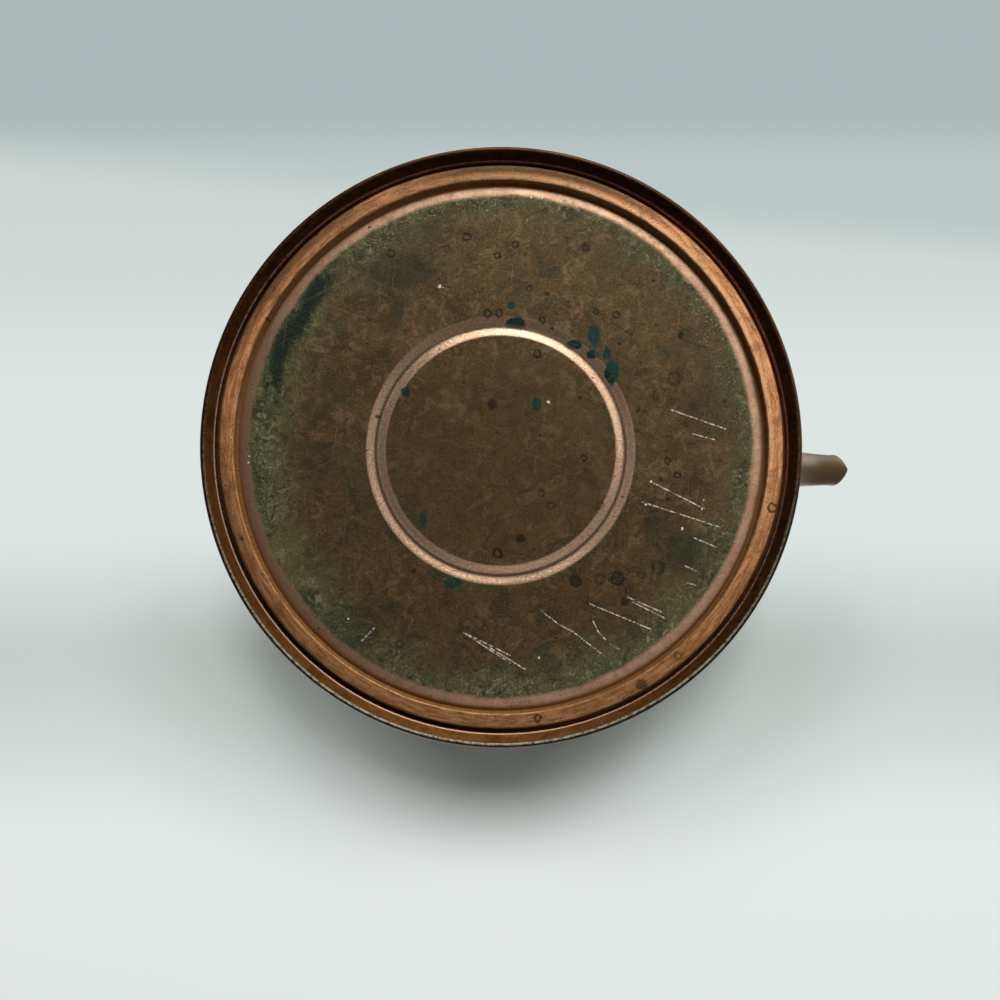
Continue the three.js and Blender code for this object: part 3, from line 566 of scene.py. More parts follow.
def straight_marks(place, marks):
    """Distance in millimetres from the nearest of several straight scratches."""
    found = []
    for start_x, start_y, end_x, end_y in marks:
        start, end = Vector((start_x, start_y)), Vector((end_x, end_y))
        along = (end - start).normalized()
        across = Vector((-along.y, along.x))
        middle = (start + end) / 2
        sockets = {"Along": (*along, 0), "Across": (*across, 0), "Half": (end - start).length / 2}
        sockets["Middle"] = (middle @ along, middle @ across, 0)
        found.append(use(stroke, Place=place, **sockets)["Distance"])
    return lowest(*found)


def make_base_copper():
    """Underside: brown panel with green edge, pink shoulder, dark groove, bright worn foot band, with painted
    shade, bounce light, highlight and dark reflections laid on some of them.
    """
    material, shader, place = new_material("base_copper")
    shader.inputs["Specular IOR Level"].default_value = 0.12
    flat = vectors("MULTIPLY", place, FLAT)
    wobble = vectors("SUBTRACT", noise(flat, 0.5, 2.0, out=1), (0.5, 0.5, 0.5))
    loose = vectors("MULTIPLY_ADD", wobble, (1.5, 1.5, 0.0), flat)
    radius = flat_radius(place)
    ring = flat_radius(place, RING_AT)
    cloud = use(mottle, Place=flat, Blotch=0.045, Contrast=0.6)
    grain = use(mottle, Place=flat, Blotch=0.16, Contrast=0.4)
    grit = noise(flat, 1.35, 4.0, 0.8)

    brown = mixed(cloud["Mask"], (0.05, 0.036, 0.0135), (0.14, 0.082, 0.03))
    brown = mixed(grain["Mask"] * 0.7, brown, (0.044, 0.029, 0.011))
    brown = mixed(fade(noise(flat, 0.2, 3.0, 0.6, 1.2), 0.5, 0.66, 0.0, 0.7), brown, (0.145, 0.09, 0.042))
    brown = mixed(fade(noise(flat, 0.12, 4.0, 0.6, 1.4), 0.5, 0.36, 0.0, 0.75), brown, (0.034, 0.029, 0.013))
    brown = mixed(fade(grit, 0.5, 0.75, 0.0, 0.62), brown, (0.2, 0.14, 0.075))
    brown = mixed(fade(grit, 0.5, 0.28, 0.0, 0.85), brown, (0.016, 0.011, 0.005))
    murk = fade(noise(flat, 0.045, 4.0, 0.62, 0.5), 0.48, 0.64)
    brown = mixed(murk * 0.5, brown, (0.03, 0.031, 0.016))
    brown = mixed(fade(ring, 34.0, 28.0, 0.0, 0.3), brown, (0.07, 0.038, 0.014))

    edge_noise = noise(flat, 0.07, 5.0, 0.65) - 0.5
    ragged = edge_noise * 30.0 + radius
    pull = facing(place, 180, 75) * 7.0 + facing(place, 60, 70) * 4.0
    haze = fade(ragged + pull, 62.0, 78.0, 0.0, 0.9)
    green = mixed(grain["Mask"], (0.033, 0.04, 0.014), (0.085, 0.082, 0.028))
    green = mixed(fade(grit, 0.5, 0.75, 0.0, 0.75), green, (0.2, 0.2, 0.1))
    green = mixed(fade(grit, 0.5, 0.26, 0.0, 0.85), green, (0.01, 0.012, 0.006))
    green = mixed(fade(noise(flat, 0.22, 4.0, 0.7, 1.0), 0.52, 0.38, 0.0, 0.85), green, (0.013, 0.018, 0.01))
    green = mixed(fade(noise(flat, 0.3, 4.0, 0.75, 1.4), 0.52, 0.68, 0.0, 0.65), green, (0.22, 0.21, 0.115))
    panel = mixed(haze, brown, green)

    tatter = noise(flat, 0.45, 4.0, 0.65) - 0.5
    olive = tatter * 1.4 + blots(flat, [(-62.5, 32.7, 7, 13), (52.0, 42.5, 7, 6)])
    panel = mixed(fade(olive, 0.5, 1.2, 0.3, 0.0), panel, (0.1, 0.075, 0.022))
    dim = [(-44.0, 54.0, 12, 8), (55.0, 31.0, 6, 8), (46.0, 24.0, 5, 6), (-30, -52, 15, 6)]
    shade = tatter * 1.5 + blots(flat, dim)
    panel = mixed(fade(shade, 0.5, 1.2, 0.5, 0.0), panel, (0.019, 0.026, 0.014))

    crescent = fade(tatter * 1.3 + blots(flat, [(-61, -35.5, 17, 27)]), 0.55, 1.15, 1.0, 0.0)
    teal = crescent * band(edge_noise * 10.0 + radius, 68.6, 73.6, 1.6)
    teal_tone = mixed(fade(grain["Fine"], 0.4, 0.62), (0.002, 0.006, 0.0045), (0.009, 0.021, 0.012))
    panel = mixed(teal * 0.97, panel, teal_tone)
    spots = fade(tatter * 0.9 + blots(flat, VERDIGRIS), 0.8, 1.3, 1.0, 0.0)
    spot_tone = mixed(fade(grit, 0.35, 0.65), (0.001, 0.011, 0.009), (0.003, 0.04, 0.032))
    panel = mixed(spots * 0.94, panel, spot_tone)

    shoulder = band(edge_noise * 2.5 + radius, 74.6, 77.9, 0.8)
    worn = shoulder * fade(cloud["Fine"], 0.25, 0.55, 0.6, 1.0)
    pink = mixed(grain["Mask"], (0.3, 0.16, 0.1), (0.46, 0.28, 0.18))
    # Painted shade: the shoulder's pink is darkened on its side towards -X, away from the lights.
    pink = mixed(facing(place, 165, 85), pink, (0.22, 0.125, 0.075))
    pink = mixed(fade(grit, 0.52, 0.3, 0.0, 0.5), pink, (0.14, 0.08, 0.045))
    surface = mixed(worn, panel, pink)
    flanks = band(ring, 34.15, 39.8, 0.35) * fade(grain["Fine"], 0.28, 0.5, 0.5, 1.0)
    copper = mixed(fade(grit, 0.3, 0.65), (0.29, 0.175, 0.11), (0.56, 0.365, 0.24))
    surface = mixed(flanks * (1.0 - spots), surface, copper)
    # Painted shade: the ring's outer flank is darkened on its -Y side, where it faces away from the light.
    painted_flank_shade = facing(place, -85, 85) * band(ring, 37.5, 39.9, 0.2) * (spots * -0.6 + 0.6)
    surface = mixed(painted_flank_shade, surface, (0.085, 0.052, 0.028))
    surface = mixed(band(ring, 36.6, 37.5, 0.35) * 0.8, surface, (0.05, 0.03, 0.016))

    # Painted light: the groove is given a lighter red-brown, standing in for light bounced between its copper
    # walls.
    groove = band(radius, 77.6, 78.78, 0.4)
    surface = mixed(groove, surface, (0.26, 0.11, 0.035))
    foot = fade(radius, 78.76, 79.0)
    streak = use(swept, Place=flat)
    bright = mixed(streak["Mask"], (0.3, 0.112, 0.036), (0.58, 0.272, 0.115))
    bright = mixed(fade(grit, 0.52, 0.78, 0.0, 0.6), bright, (0.75, 0.42, 0.2))
    swayed = (streak["Value"] - 0.5) * 2.6 + radius
    # Painted highlight: a brighter band along the polished inner edge of the foot band, on its side towards
    # +X and -Y only.
    polished = band(swayed, 78.9, 80.3, 0.35) * facing(place, -40, 75)
    bright = mixed(polished * 0.55, bright, (0.85, 0.5, 0.26))
    # Painted reflections: the foot band is darkened in sectors round the axis, most towards -Y, where dark
    # things near the kettle are mirrored in it.
    outer = fade(swayed, 80.2, 81.6)
    painted_reflections = [
        facing(place, degrees, width) * amount
        for degrees, width, amount in (
            (-84, 42, 0.95), (-138, 32, 0.78), (144, 55, 0.5), (45, 40, 0.3), (90, 85, 0.42),
            (-105, 50, 0.35),
        )
    ]
    inner = highest(painted_reflections[2] * 0.8, painted_reflections[4], painted_reflections[5])
    painted_darkness = blended(outer, inner, highest(*painted_reflections[:5]))
    foot_tone = mixed(painted_darkness, bright, (0.05, 0.028, 0.011))
    fleck = fade(noise(flat, 0.95, 4.0, 0.8), 0.53, 0.68)
    foot_tone = mixed(fleck * 0.7, foot_tone, (0.06, 0.028, 0.012))
    tarnish = fade(noise(flat, 0.13, 4.0, 0.7), 0.52, 0.66)
    foot_tone = mixed(tarnish * 0.45, foot_tone, (0.09, 0.05, 0.022))
    surface = mixed(foot, surface, foot_tone)

    crowd = fade(noise(flat, 0.06, 2.0), 0.42, 0.58, 0.15, 1.0)
    small = use(pits, Place=loose, Scale=0.7, Share=0.26, Size=0.24)["Mask"]
    large = use(pits, Place=loose, Scale=0.2, Share=0.25, Size=0.11)["Mask"]
    dots = highest(small * crowd, large)
    outlines = band(round_marks(loose, RINGS), 0.6, 1.2, 0.25)
    faint = band(round_marks(loose, FAINT_RINGS), 0.6, 1.15, 0.3)
    filled = fade(round_marks(loose, DARK_SPOTS), 0.6, 1.15, 0.85, 0.0)
    stained = highest(outlines, filled, faint * 0.65)
    surface = mixed(dots * 0.8, surface, (0.012, 0.009, 0.006))
    surface = mixed(stained * 0.86, surface, (0.009, 0.01, 0.006))

    rubs = use(hairlines, Place=loose, Scale=0.55, Amount=1.0)["Mask"]
    cuts = use(hairlines, Place=vectors("ADD", loose, (31.0, 7.0, 0.0)), Scale=0.3, Amount=1.0)["Mask"]
    surface = mixed(rubs * 0.28, surface, (0.26, 0.19, 0.11))
    surface = mixed(cuts * 0.3, surface, (0.02, 0.014, 0.008))
    frost = fade(grit, 0.56, 0.7) * fade(noise(flat, 0.09, 3.0), 0.46, 0.62)
    frost = frost * band(radius, 67.0, 74.6, 2.0) * (1.0 - teal)
    surface = mixed(frost * 0.8, surface, (0.46, 0.45, 0.33))
    lines = fade(straight_marks(flat, SCRATCHES), 0.06, 0.26, 1.0, 0.0)
    lines = lines * fade(noise(flat, 0.9, 3.0, 0.85), 0.42, 0.58, 0.0, 1.0)
    light = highest(lines, fade(round_marks(loose, LIGHT_SPECKS), 0.35, 0.75, 0.9, 0.0))
    surface = mixed(light * 0.9, surface, (0.66, 0.61, 0.5))

    # Painted shade: the flange in the narrow gap under the folded lip is darkened.
    surface = mixed(band(radius, 83.4, 89.0, 0.1) * 0.8, surface, (0.05, 0.024, 0.009))
    patina = highest(haze, spots, teal)
    bare = highest(worn, flanks, foot)
    metal = maths("MULTIPLY_ADD", patina, -0.5, blended(bare, 0.6, 1.0), clamp=True) + flanks * -0.25
    rough = blended(bare, fade(grain["Fine"], 0.3, 0.7, 0.4, 0.6), 0.34) + patina * 0.14
    height = grit + highest(dots, stained) * -0.45 + fleck * foot * -0.5 + cloud["Fine"] * 0.5
    finish(shader, surface, metal * (1.0 - light), highest(rough, groove * 0.6), height, 0.1, 0.8)
    return material


def make_lip_copper():
    """Folded lip: smooth dark oxide, a bright worn raw edge inside and pale green specks along the crest, far
    stronger on its +Y side: verdigris with a painted reflection of the pale table.
    """
    material, shader, place = new_material("lip_copper")
    radius = flat_radius(place)
    cloud = use(mottle, Place=place, Blotch=0.06)
    fine = noise(place, 0.8, 4.0, 0.7)
    tone = mixed(cloud["Mask"], (0.022, 0.008, 0.0018), (0.05, 0.0195, 0.0045))
    streak = use(swept, Place=place)["Mask"]
    tone = mixed(streak * 0.4, tone, (0.075, 0.031, 0.009))
    edge = fade(radius, 85.35, 85.05)
    tone = mixed(edge * fade(fine, 0.3, 0.6, 0.5, 1.0), tone, (0.3, 0.17, 0.115))
    # Verdigris and painted reflection: the crest's pale green is laid on much more strongly on its +Y side,
    # where the pale table is mirrored.
    low_side = facing(place, 90, 110) * 0.6 + 0.04
    crest = band(radius, 87.5, 88.1, 0.12) * low_side
    green = mixed(fade(fine, 0.36, 0.58), (0.03, 0.042, 0.022), (0.42, 0.43, 0.33))
    tone = mixed(crest * 0.9, tone, green)
    rough = crest * 0.2 + fade(fine, 0.3, 0.7, 0.36, 0.5)
    finish(shader, tone, crest * -0.8 + 1.0, rough, fine, 0.05, 0.5)
    return material


def make_body_copper():
    """Outside of the body: old polished copper, darker and greener towards the rim and round the joints."""
    material, shader, place = new_material("body_copper")
    shader.inputs["Specular IOR Level"].default_value = 0.2
    axes = parts(place)
    cloud = use(mottle, Place=place, Blotch=0.026, Contrast=0.55)
    grain = use(mottle, Place=place, Blotch=0.17)
    tone = mixed(cloud["Mask"], (0.15, 0.066, 0.029), (0.4, 0.2, 0.103))
    tone = mixed(grain["Mask"] * 0.4, tone, (0.15, 0.075, 0.034))
    low = fade(grain["Fine"] * 12.0 + axes[2], 4.0, 20.0, 0.8, 0.0)
    tone = mixed(low, tone, (0.075, 0.036, 0.018))
    stain = fade(noise(place, 0.05, 5.0, 0.65, 0.5), 0.56, 0.7)
    tone = mixed(stain * 0.65, tone, (0.085, 0.042, 0.024))
    root = length(vectors("SUBTRACT", place, (83.0, 0.0, 47.0)))
    neck = band(flat_radius(place), 44.0, 50.5, 1.2) * fade(axes[2], 85.0, 92.0)
    green = highest(neck, fade(root, 25.0, 18.0)) * fade(noise(place, 0.3, 4.0, 0.7), 0.42, 0.62)
    tone = mixed(green * 0.6, tone, (0.05, 0.13, 0.1))
    dots = use(pits, Place=place, Scale=0.16, Share=0.22, Size=0.12)["Mask"]
    tone = mixed(dots * 0.75, tone, (0.05, 0.025, 0.015))
    rubs = use(hairlines, Place=place, Scale=0.3, Amount=0.5)["Mask"]
    tone = mixed(rubs * 0.25, tone, (0.85, 0.5, 0.33))
    normal = node("NewGeometry")["True Normal"]
    own = {"vector_type": "NORMAL", "convert_from": "WORLD", "convert_to": "OBJECT"}
    downward = parts(node("VectorTransform", {0: normal}, **own)[0])[2]
    soot = fade(downward, -0.12, -0.5) * fade(cloud["Fine"], 0.2, 0.5, 0.8, 0.95)
    tone = mixed(soot, tone, (0.075, 0.05, 0.016))
    rough = fade(grain["Fine"], 0.3, 0.7, 0.2, 0.36) + highest(low, stain, soot) * 0.2 + rubs * 0.12
    height = cloud["Fine"] * 0.5 + dots * -0.6 + rubs * -0.2
    finish(shader, tone, highest(green, soot) * -0.6 + 1.0, rough, height, 0.1, 0.6)
    return material


def make_tin():
    """Tinned inside: dull grey wiped metal, stained brown by scale towards the bottom."""
    material, shader, place = new_material("tin_lining")
    cloud = use(mottle, Place=place, Blotch=0.05)
    tone = mixed(cloud["Mask"], (0.2, 0.19, 0.175), (0.38, 0.37, 0.35))
    scale = fade(cloud["Fine"] * 30.0 + parts(place)[2], 18.0, 55.0, 0.75, 0.0)
    tone = mixed(scale, tone, (0.2, 0.125, 0.07))
    worn = fade(noise(place, 0.11, 4.0, 0.6), 0.6, 0.68)
    tone = mixed(worn * 0.7, tone, (0.34, 0.15, 0.075))
    rough = fade(cloud["Fine"], 0.3, 0.7, 0.38, 0.55)
    finish(shader, tone, scale * -0.5 + 0.9, rough, cloud["Fine"], 0.15, 0.6)
    return material


def make_brass():
    """Aged brass: yellow metal dulled brown in patches, with pits and rubbing marks."""
    material, shader, place = new_material("aged_brass")
    cloud = use(mottle, Place=place, Blotch=0.09)
    grain = use(mottle, Place=place, Blotch=0.5)
    tone = mixed(cloud["Mask"], (0.3, 0.18, 0.06), (0.62, 0.42, 0.17))
    tone = mixed(grain["Mask"] * 0.35, tone, (0.16, 0.1, 0.04))
    dots = use(pits, Place=place, Scale=0.5, Share=0.35, Size=0.22)["Mask"]
    tone = mixed(dots * 0.7, tone, (0.06, 0.04, 0.02))
    rubs = use(hairlines, Place=place, Scale=0.5, Amount=0.6)["Mask"]
    tone = mixed(rubs * 0.3, tone, (0.85, 0.66, 0.34))
    rough = dots * 0.3 + fade(grain["Fine"], 0.3, 0.7, 0.24, 0.42)
    finish(shader, tone, 1.0, rough, dots * -0.5 + cloud["Fine"] * 0.6, 0.12, 0.7)
    return material


def make_bright_copper():
    """Rivets and rosette: copper rubbed brighter than the body."""
    material, shader, place = new_material("bright_copper")
    grain = use(mottle, Place=place, Blotch=0.3)
    tone = mixed(grain["Mask"], (0.45, 0.19, 0.09), (0.8, 0.43, 0.27))
    dots = use(pits, Place=place, Scale=0.7, Share=0.3, Size=0.25)["Mask"]
    tone = mixed(dots * 0.7, tone, (0.08, 0.035, 0.02))
    rough = fade(grain["Fine"], 0.3, 0.7, 0.2, 0.36)
    finish(shader, tone, 1.0, rough, dots * -0.5 + grain["Fine"], 0.06, 0.6)
    return material


def make_iron():
    """Bail wire: dark wrought iron with patches of brown rust."""
    material, shader, place = new_material("dark_iron")
    cloud = use(mottle, Place=place, Blotch=0.12)
    grain = use(mottle, Place=place, Blotch=0.7, Contrast=0.55)
    tone = mixed(cloud["Mask"], (0.04, 0.034, 0.03), (0.11, 0.1, 0.09))
    rust = fade(noise(place, 0.22, 4.0, 0.65), 0.52, 0.66)
    tone = mixed(rust * 0.65, tone, (0.1, 0.042, 0.02))
    finish(shader, tone, rust * -0.6 + 0.95, rust * 0.25 + 0.38, grain["Mask"], 0.16, 0.7)
    return material


def make_wood():
    """Grip: dark stained hardwood with its grain along Y, worn lighter towards its middle where it is held,
    and lacquered.
    """
    material, shader, place = new_material("turned_wood")
    along = vectors("MULTIPLY", place, (1.0, 0.07, 1.0))
    fibre = noise(along, 1.3, 5.0, 0.65, 0.2)
    figure = noise(along, 0.28, 3.0, 0.55, 1.2)
    tone = mixed(fade(figure, 0.3, 0.7), (0.05, 0.018, 0.007), (0.2, 0.085, 0.032))
    tone = mixed(fade(fibre, 0.5, 0.7, 0.0, 0.7), tone, (0.028, 0.01, 0.005))
    handled = fade(figure * 14.0 + abs(parts(place)[1]), 16.0, 34.0, 0.35, 0.0)
    tone = mixed(handled, tone, (0.3, 0.14, 0.06))
    shader.inputs["Coat Weight"].default_value = 0.35
    shader.inputs["Coat Roughness"].default_value = 0.22
    finish(shader, tone, 0.0, fade(fibre, 0.3, 0.7, 0.3, 0.5), fibre, 0.12, 0.5)
    return material


base_copper, lip_copper, body_copper = make_base_copper(), make_lip_copper(), make_body_copper()
tin, brass, bright_copper = make_tin(), make_brass(), make_bright_copper()
iron, wood = make_iron(), make_wood()


def brass_piece(name, shape, body, stands_for):
    return mesh_piece(name, shape, body, brass, "aged_brass", stands_for)


# The base

TIN_ABOVE = -0.6
LIP_START = (RIM - CREST_ROUND - CREST_ROUND * math.sin(LIP_SLOPE), -0.4 - CREST_ROUND * math.cos(LIP_SLOPE))
LIP_EDGE_Z = LIP_START[1] + (LIP_START[0] - LIP_EDGE) * math.tan(LIP_SLOPE)
LIP_UPRIGHT = SHEET / math.cos(LIP_SLOPE)
FLANGE_Z = LIP_EDGE_Z + LIP_UPRIGHT + GAP
SHOULDER_LINE = [
    (72.6, 0), (74.2, 0.05), (75.3, 0.15), (76.2, 0.31), (76.9, 0.49), (77.5, 0.76), (78.0, 1.12),
    (78.35, 1.5),
]


def base_surface(columns=460):
    """The pressed disc. Its profile is carried round the axis; inside the panel the rings slide over to the
    embossed ring's own centre. The ring lifts the sheet by an eased step on each flank, and the panel waves
    by less than 0.2 mm: a sum of three sines of angle and radius."""
    panel = np.concatenate([np.linspace(0.4, 29, 14), np.linspace(31, 43.6, 52), np.linspace(45, 71.2, 20)])
    back = panel[::-2]
    under = [
        np.stack([panel, panel * 0], axis=1),
        smooth_line(SHOULDER_LINE, 26)[0],
        softened([(78.45, 1.7), (78.7, 1.68), (78.74, -1.2), (79.04, -1.48)], 0.2, 3),
        divided([(79.2, -1.53), (80.6, FOOT_Z), (82.5, -1.55)], 0.5),
        softened([(82.7, -1.52), (83.25, -1.15), (83.25, FLANGE_Z), (87.5, FLANGE_Z), (87.5, 8)], 0.3, 3),
    ]
    over = [
        softened([(87.5, 8), (86.3, 8), (86.3, 2.75), (81.4, 2.75), (81.4, -0.4), (79.9, -0.4)], 0.3, 2)[1:],
        softened([(79.9, -0.3), (79.9, 3.6), (77.4, 3.6)], 0.4, 2),
        [(76.8, 3.1), (76.2, 2.35), (75.4, 1.8), (74.2, 1.4), (72.8, 1.24)],
        np.stack([back, back * 0 + SHEET], axis=1),
    ]
    r, z = np.concatenate(under + over).T[:, :, None]
    a = angles(columns)[None, :]
    slide = 1 - ease((r - 46) / 22)
    x, y = r * np.cos(a) + slide * RING_AT[0], r * np.sin(a) + slide * RING_AT[1]
    off = np.abs(np.hypot(x - RING_AT[0], y - RING_AT[1]) - RING_RADIUS)
    rise = (RING_WIDTH / 2 - off) / ((RING_WIDTH - RING_FLOOR) / 2)
    lift = RING_DEPTH * (0.6 * np.clip(rise, 0, 1) + 0.4 * ease(rise))
    waves = 0.09 * np.sin(2 * a + r / 17) + 0.05 * np.sin(5 * a - r / 9 + 1.3) + 0.04 * np.sin(9 * a + r / 6)
    z = z + np.where(r < PANEL_EDGE, lift + waves * ease((PANEL_EDGE - 1 - r) / 12) * ease(r / 20), 0)
    return shell(np.stack([x, y, np.broadcast_to(z, x.shape)], axis=2), True)


base = mesh_piece("base_plate", base_surface(), "kettle_body", (base_copper, tin), "base_copper", "base_disc")
faces = base.data.polygons
middle, normal = np.zeros(len(faces) * 3), np.zeros(len(faces) * 3)
faces.foreach_get("center", middle)
faces.foreach_get("normal", normal)
second_finish(base, (normal[2::3] > 0.2) & (middle[2::3] > TIN_ABOVE * MM))

# The body


def rim_profile():
    """Folded lip: up its slope from the raw edge, round the crest, and back above itself a sheet away."""
    crest = arc((RIM - CREST_ROUND, -0.4), CREST_ROUND, -116, -14, 14)
    fall = math.tan(LIP_SLOPE)
    top = LIP_EDGE_Z + LIP_UPRIGHT
    edge = [(LIP_EDGE + 1.4, top - 1.4 * fall), (LIP_EDGE, top), (LIP_EDGE, LIP_EDGE_Z)]
    raw = softened(edge + [(LIP_EDGE + 0.8, LIP_EDGE_Z - 0.8 * fall)], 0.4, 4)
    slope = np.linspace([LIP_EDGE + 1.0, LIP_EDGE_Z - fall], LIP_START, 8)[:-1]
    return np.concatenate([raw, slope, crest, [(88.9, 0.3), (87.9, 0.8), (87.35, 0.3)]])


def body_profile(steps=64):
    """Outside from the crest up the wall and over the elliptical dome to the mouth, and back inside it."""
    a = np.linspace(0, math.acos(MOUTH / BULGE), steps)
    outer = np.stack([BULGE * np.cos(a), BULGE_Z + DOME_RISE * np.sin(a)], axis=1)
    wall = divided([(88.97, -0.62), (89.02, 3.0), (89.12, 10.0), (89.19, 17.0)], 1.6)
    b = np.linspace(math.acos(MOUTH / (BULGE - SHEET)), 0, steps - 12)
    inner = np.stack([(BULGE - SHEET) * np.cos(b), BULGE_Z + (DOME_RISE - SHEET) * np.sin(b)], axis=1)
    return np.concatenate([wall, outer, inner, [(87.8, 8.0), (87.8, 0.0)]]), len(wall) + len(outer)


def wall_shell(columns=360):
    """The body's wall, swelling out of round by a sine of three times the angle, and how many of its faces
    are outside."""
    profile, outer_rows = body_profile()
    points, quads, tris = turned(profile, columns, poles=False)
    x, y, z = points.T
    swell = 1 + 0.0009 * np.sin(3 * np.arctan2(y, x) + 0.6) * ease((z - 12) / 20) * ease((100 - z) / 30)
    return (points * np.stack([swell, swell, swell * 0 + 1], axis=1), quads, tris), outer_rows * columns


rim = mesh_piece("rim_lip", turned(rim_profile(), 720, poles=False), "kettle_body", lip_copper, "base_copper")
wall_parts, outer_faces = wall_shell()
wall = mesh_piece("body_wall", wall_parts, "kettle_body", (body_copper, tin), "aged_copper", "body_shell")
second_finish(wall, np.arange(len(wall.data.polygons)) >= outer_faces)

# The spout

SPOUT_SHARES = [(0, 0), (0.31, 0.235), (0.46, 0.505), (0.575, 0.735), (0.77, 0.915), (1, 1)]
SPOUT_ROOT, SPOUT_LIP, SPOUT_TAPER, BEAK, MOUTH_TILT = 17.0, 6.5, 1.3, 4.5, math.radians(45)
MOUTH_SQUARE = np.array([math.cos(MOUTH_TILT), 0, math.sin(MOUTH_TILT)])
SPOUT_LINE, SPOUT_WALKED = smooth_line([(66 + 81.8 * x, 34 + 95 * z) for x, z in SPOUT_SHARES], 400)
SPOUT_LENGTH = SPOUT_WALKED[-1]
SPOUT_ALONG = np.gradient(SPOUT_LINE, SPOUT_WALKED, axis=0)
SPOUT_COLUMNS = 96


def spout_points(distance, around, wall):
    """Point of the bent tube: centreline at distance, plus its radius less wall towards above and aside. The
    radius tapers from root to lip as a power of the length that is left. Past the end it runs straight."""
    inside = np.clip(distance, 0, SPOUT_LENGTH)
    c, t = (
        np.array([np.interp(inside, SPOUT_WALKED, column) for column in known.T])
        for known in (SPOUT_LINE, SPOUT_ALONG)
    )
    t /= np.hypot(*t)
    beyond = distance - inside
    radius = SPOUT_LIP + (SPOUT_ROOT - SPOUT_LIP) * (1 - inside / SPOUT_LENGTH) ** SPOUT_TAPER - wall
    up, aside = np.broadcast_arrays(np.cos(around), -np.sin(around) + 0 * inside)
    outward = np.stack([-t[1] * up, aside, t[0] * up], axis=-1)
    middle = np.stack([c[0] + beyond * t[0] + 0 * up, 0 * up, c[1] + beyond * t[1] + 0 * up], axis=-1)
    return middle + outward * (radius + 0 * up)[..., None], outward


def first_past(values, distances):
    """For each column, the distance at which its values last turn from below nought to above it."""
    last = len(distances) - 1 - np.argmax((values < 0)[::-1], axis=0)
    last = np.clip(last, 0, len(distances) - 2)
    k = np.arange(values.shape[1])
    v0, v1 = values[last, k], values[last + 1, k]
    return distances[last] + (distances[last + 1] - distances[last]) * v0 / (v0 - v1)


SPOUT_TIP = spout_points(np.array([SPOUT_LENGTH]), np.array([math.pi]), 0.0)[0][0]


def beak_half_width(x):
    """Half the width of the pouring lip at x: the spout's own, narrowing to its point along a circle."""
    bend = (BEAK**2 + SPOUT_LIP**2) / (2 * SPOUT_LIP)
    run = np.clip(x - (SPOUT_TIP[0] - BEAK), 0, BEAK)
    return np.sqrt(np.maximum(bend**2 - run**2, 0)) - (bend - SPOUT_LIP)


def spout_surface():
    """Outer skin from the body's surface to the slanted mouth, round the lip, and back inside a sheet away,
    with its outer faces' count. Each line along the tube is cut where it leaves the body's ellipse and
    where it meets the mouth's plane."""
    a = angles(SPOUT_COLUMNS)[None, :]
    far = np.linspace(0, SPOUT_LENGTH * 0.6, 900)
    near_mouth = np.linspace(SPOUT_LENGTH * 0.7, SPOUT_LENGTH + 16, 900)
    skins = []
    for wall, shares in ((0.0, np.linspace(0, 1, 150)), (SHEET * 0.8, np.linspace(1, 0, 110))):
        x, y, z = np.moveaxis(spout_points(far[:, None], a, wall)[0], -1, 0)
        out = (x**2 + y**2) / BULGE**2 + ((z - BULGE_Z) / DOME_RISE) ** 2 - 1
        past = (spout_points(near_mouth[:, None], a, wall)[0] - SPOUT_TIP) @ MOUTH_SQUARE
        start, end = first_past(out, far), first_past(past, near_mouth)
        distance = start + (end - start) * shares[:, None]
        p, outward = spout_points(distance, a, wall)
        if wall == 0:
            flare = 2.4 * np.exp(-((distance - start) / 2.6)) + 0.25 * ease(1 - (end - distance) / 1.6)
            p = p + outward * flare[..., None]
        p[..., 1] *= np.maximum(beak_half_width(p[..., 0]) / SPOUT_LIP, 0.02)
        skins.append(p)
    over = (skins[0][-1] + skins[1][0]) / 2 + MOUTH_SQUARE * 0.35
    return shell(np.concatenate([skins[0], over[None], skins[1]]), False), (len(skins[0]) + 1) * SPOUT_COLUMNS


spout_parts, outer_faces = spout_surface()
spout = mesh_piece("spout_tube", spout_parts, "kettle_body", (body_copper, tin), "aged_copper", "spout")
second_finish(spout, np.arange(len(spout.data.polygons)) >= outer_faces)


def pierce(piece, shape):
    """Cuts a filled shape out of a piece with an exact boolean, and keeps the result as the piece's mesh."""
    cutter = in_scene("bore", mesh_of("bore", shape))
    cut = piece.modifiers.new("bore", "BOOLEAN")
    cut.operation, cut.object, cut.solver = "DIFFERENCE", cutter, "EXACT"
    whole = bpy.data.meshes.new_from_object(piece.evaluated_get(bpy.context.evaluated_depsgraph_get()))
    piece.modifiers.clear()
    piece.data = whole
    bpy.data.objects.remove(cutter)


# The spout's bore opens the body's wall
pierce(wall, shell(spout_points(np.linspace(-14, 46, 40)[:, None], angles(64)[None, :], SHEET)[0], True))

# The neck collar, lid and knob


def dome_z(radius, grow=0.0):
    """Height of the dome's outside at a radius, for a dome grown outwards."""
    return BULGE_Z + (DOME_RISE + grow) * np.sqrt(1 - (np.asarray(radius) / (BULGE + grow)) ** 2)


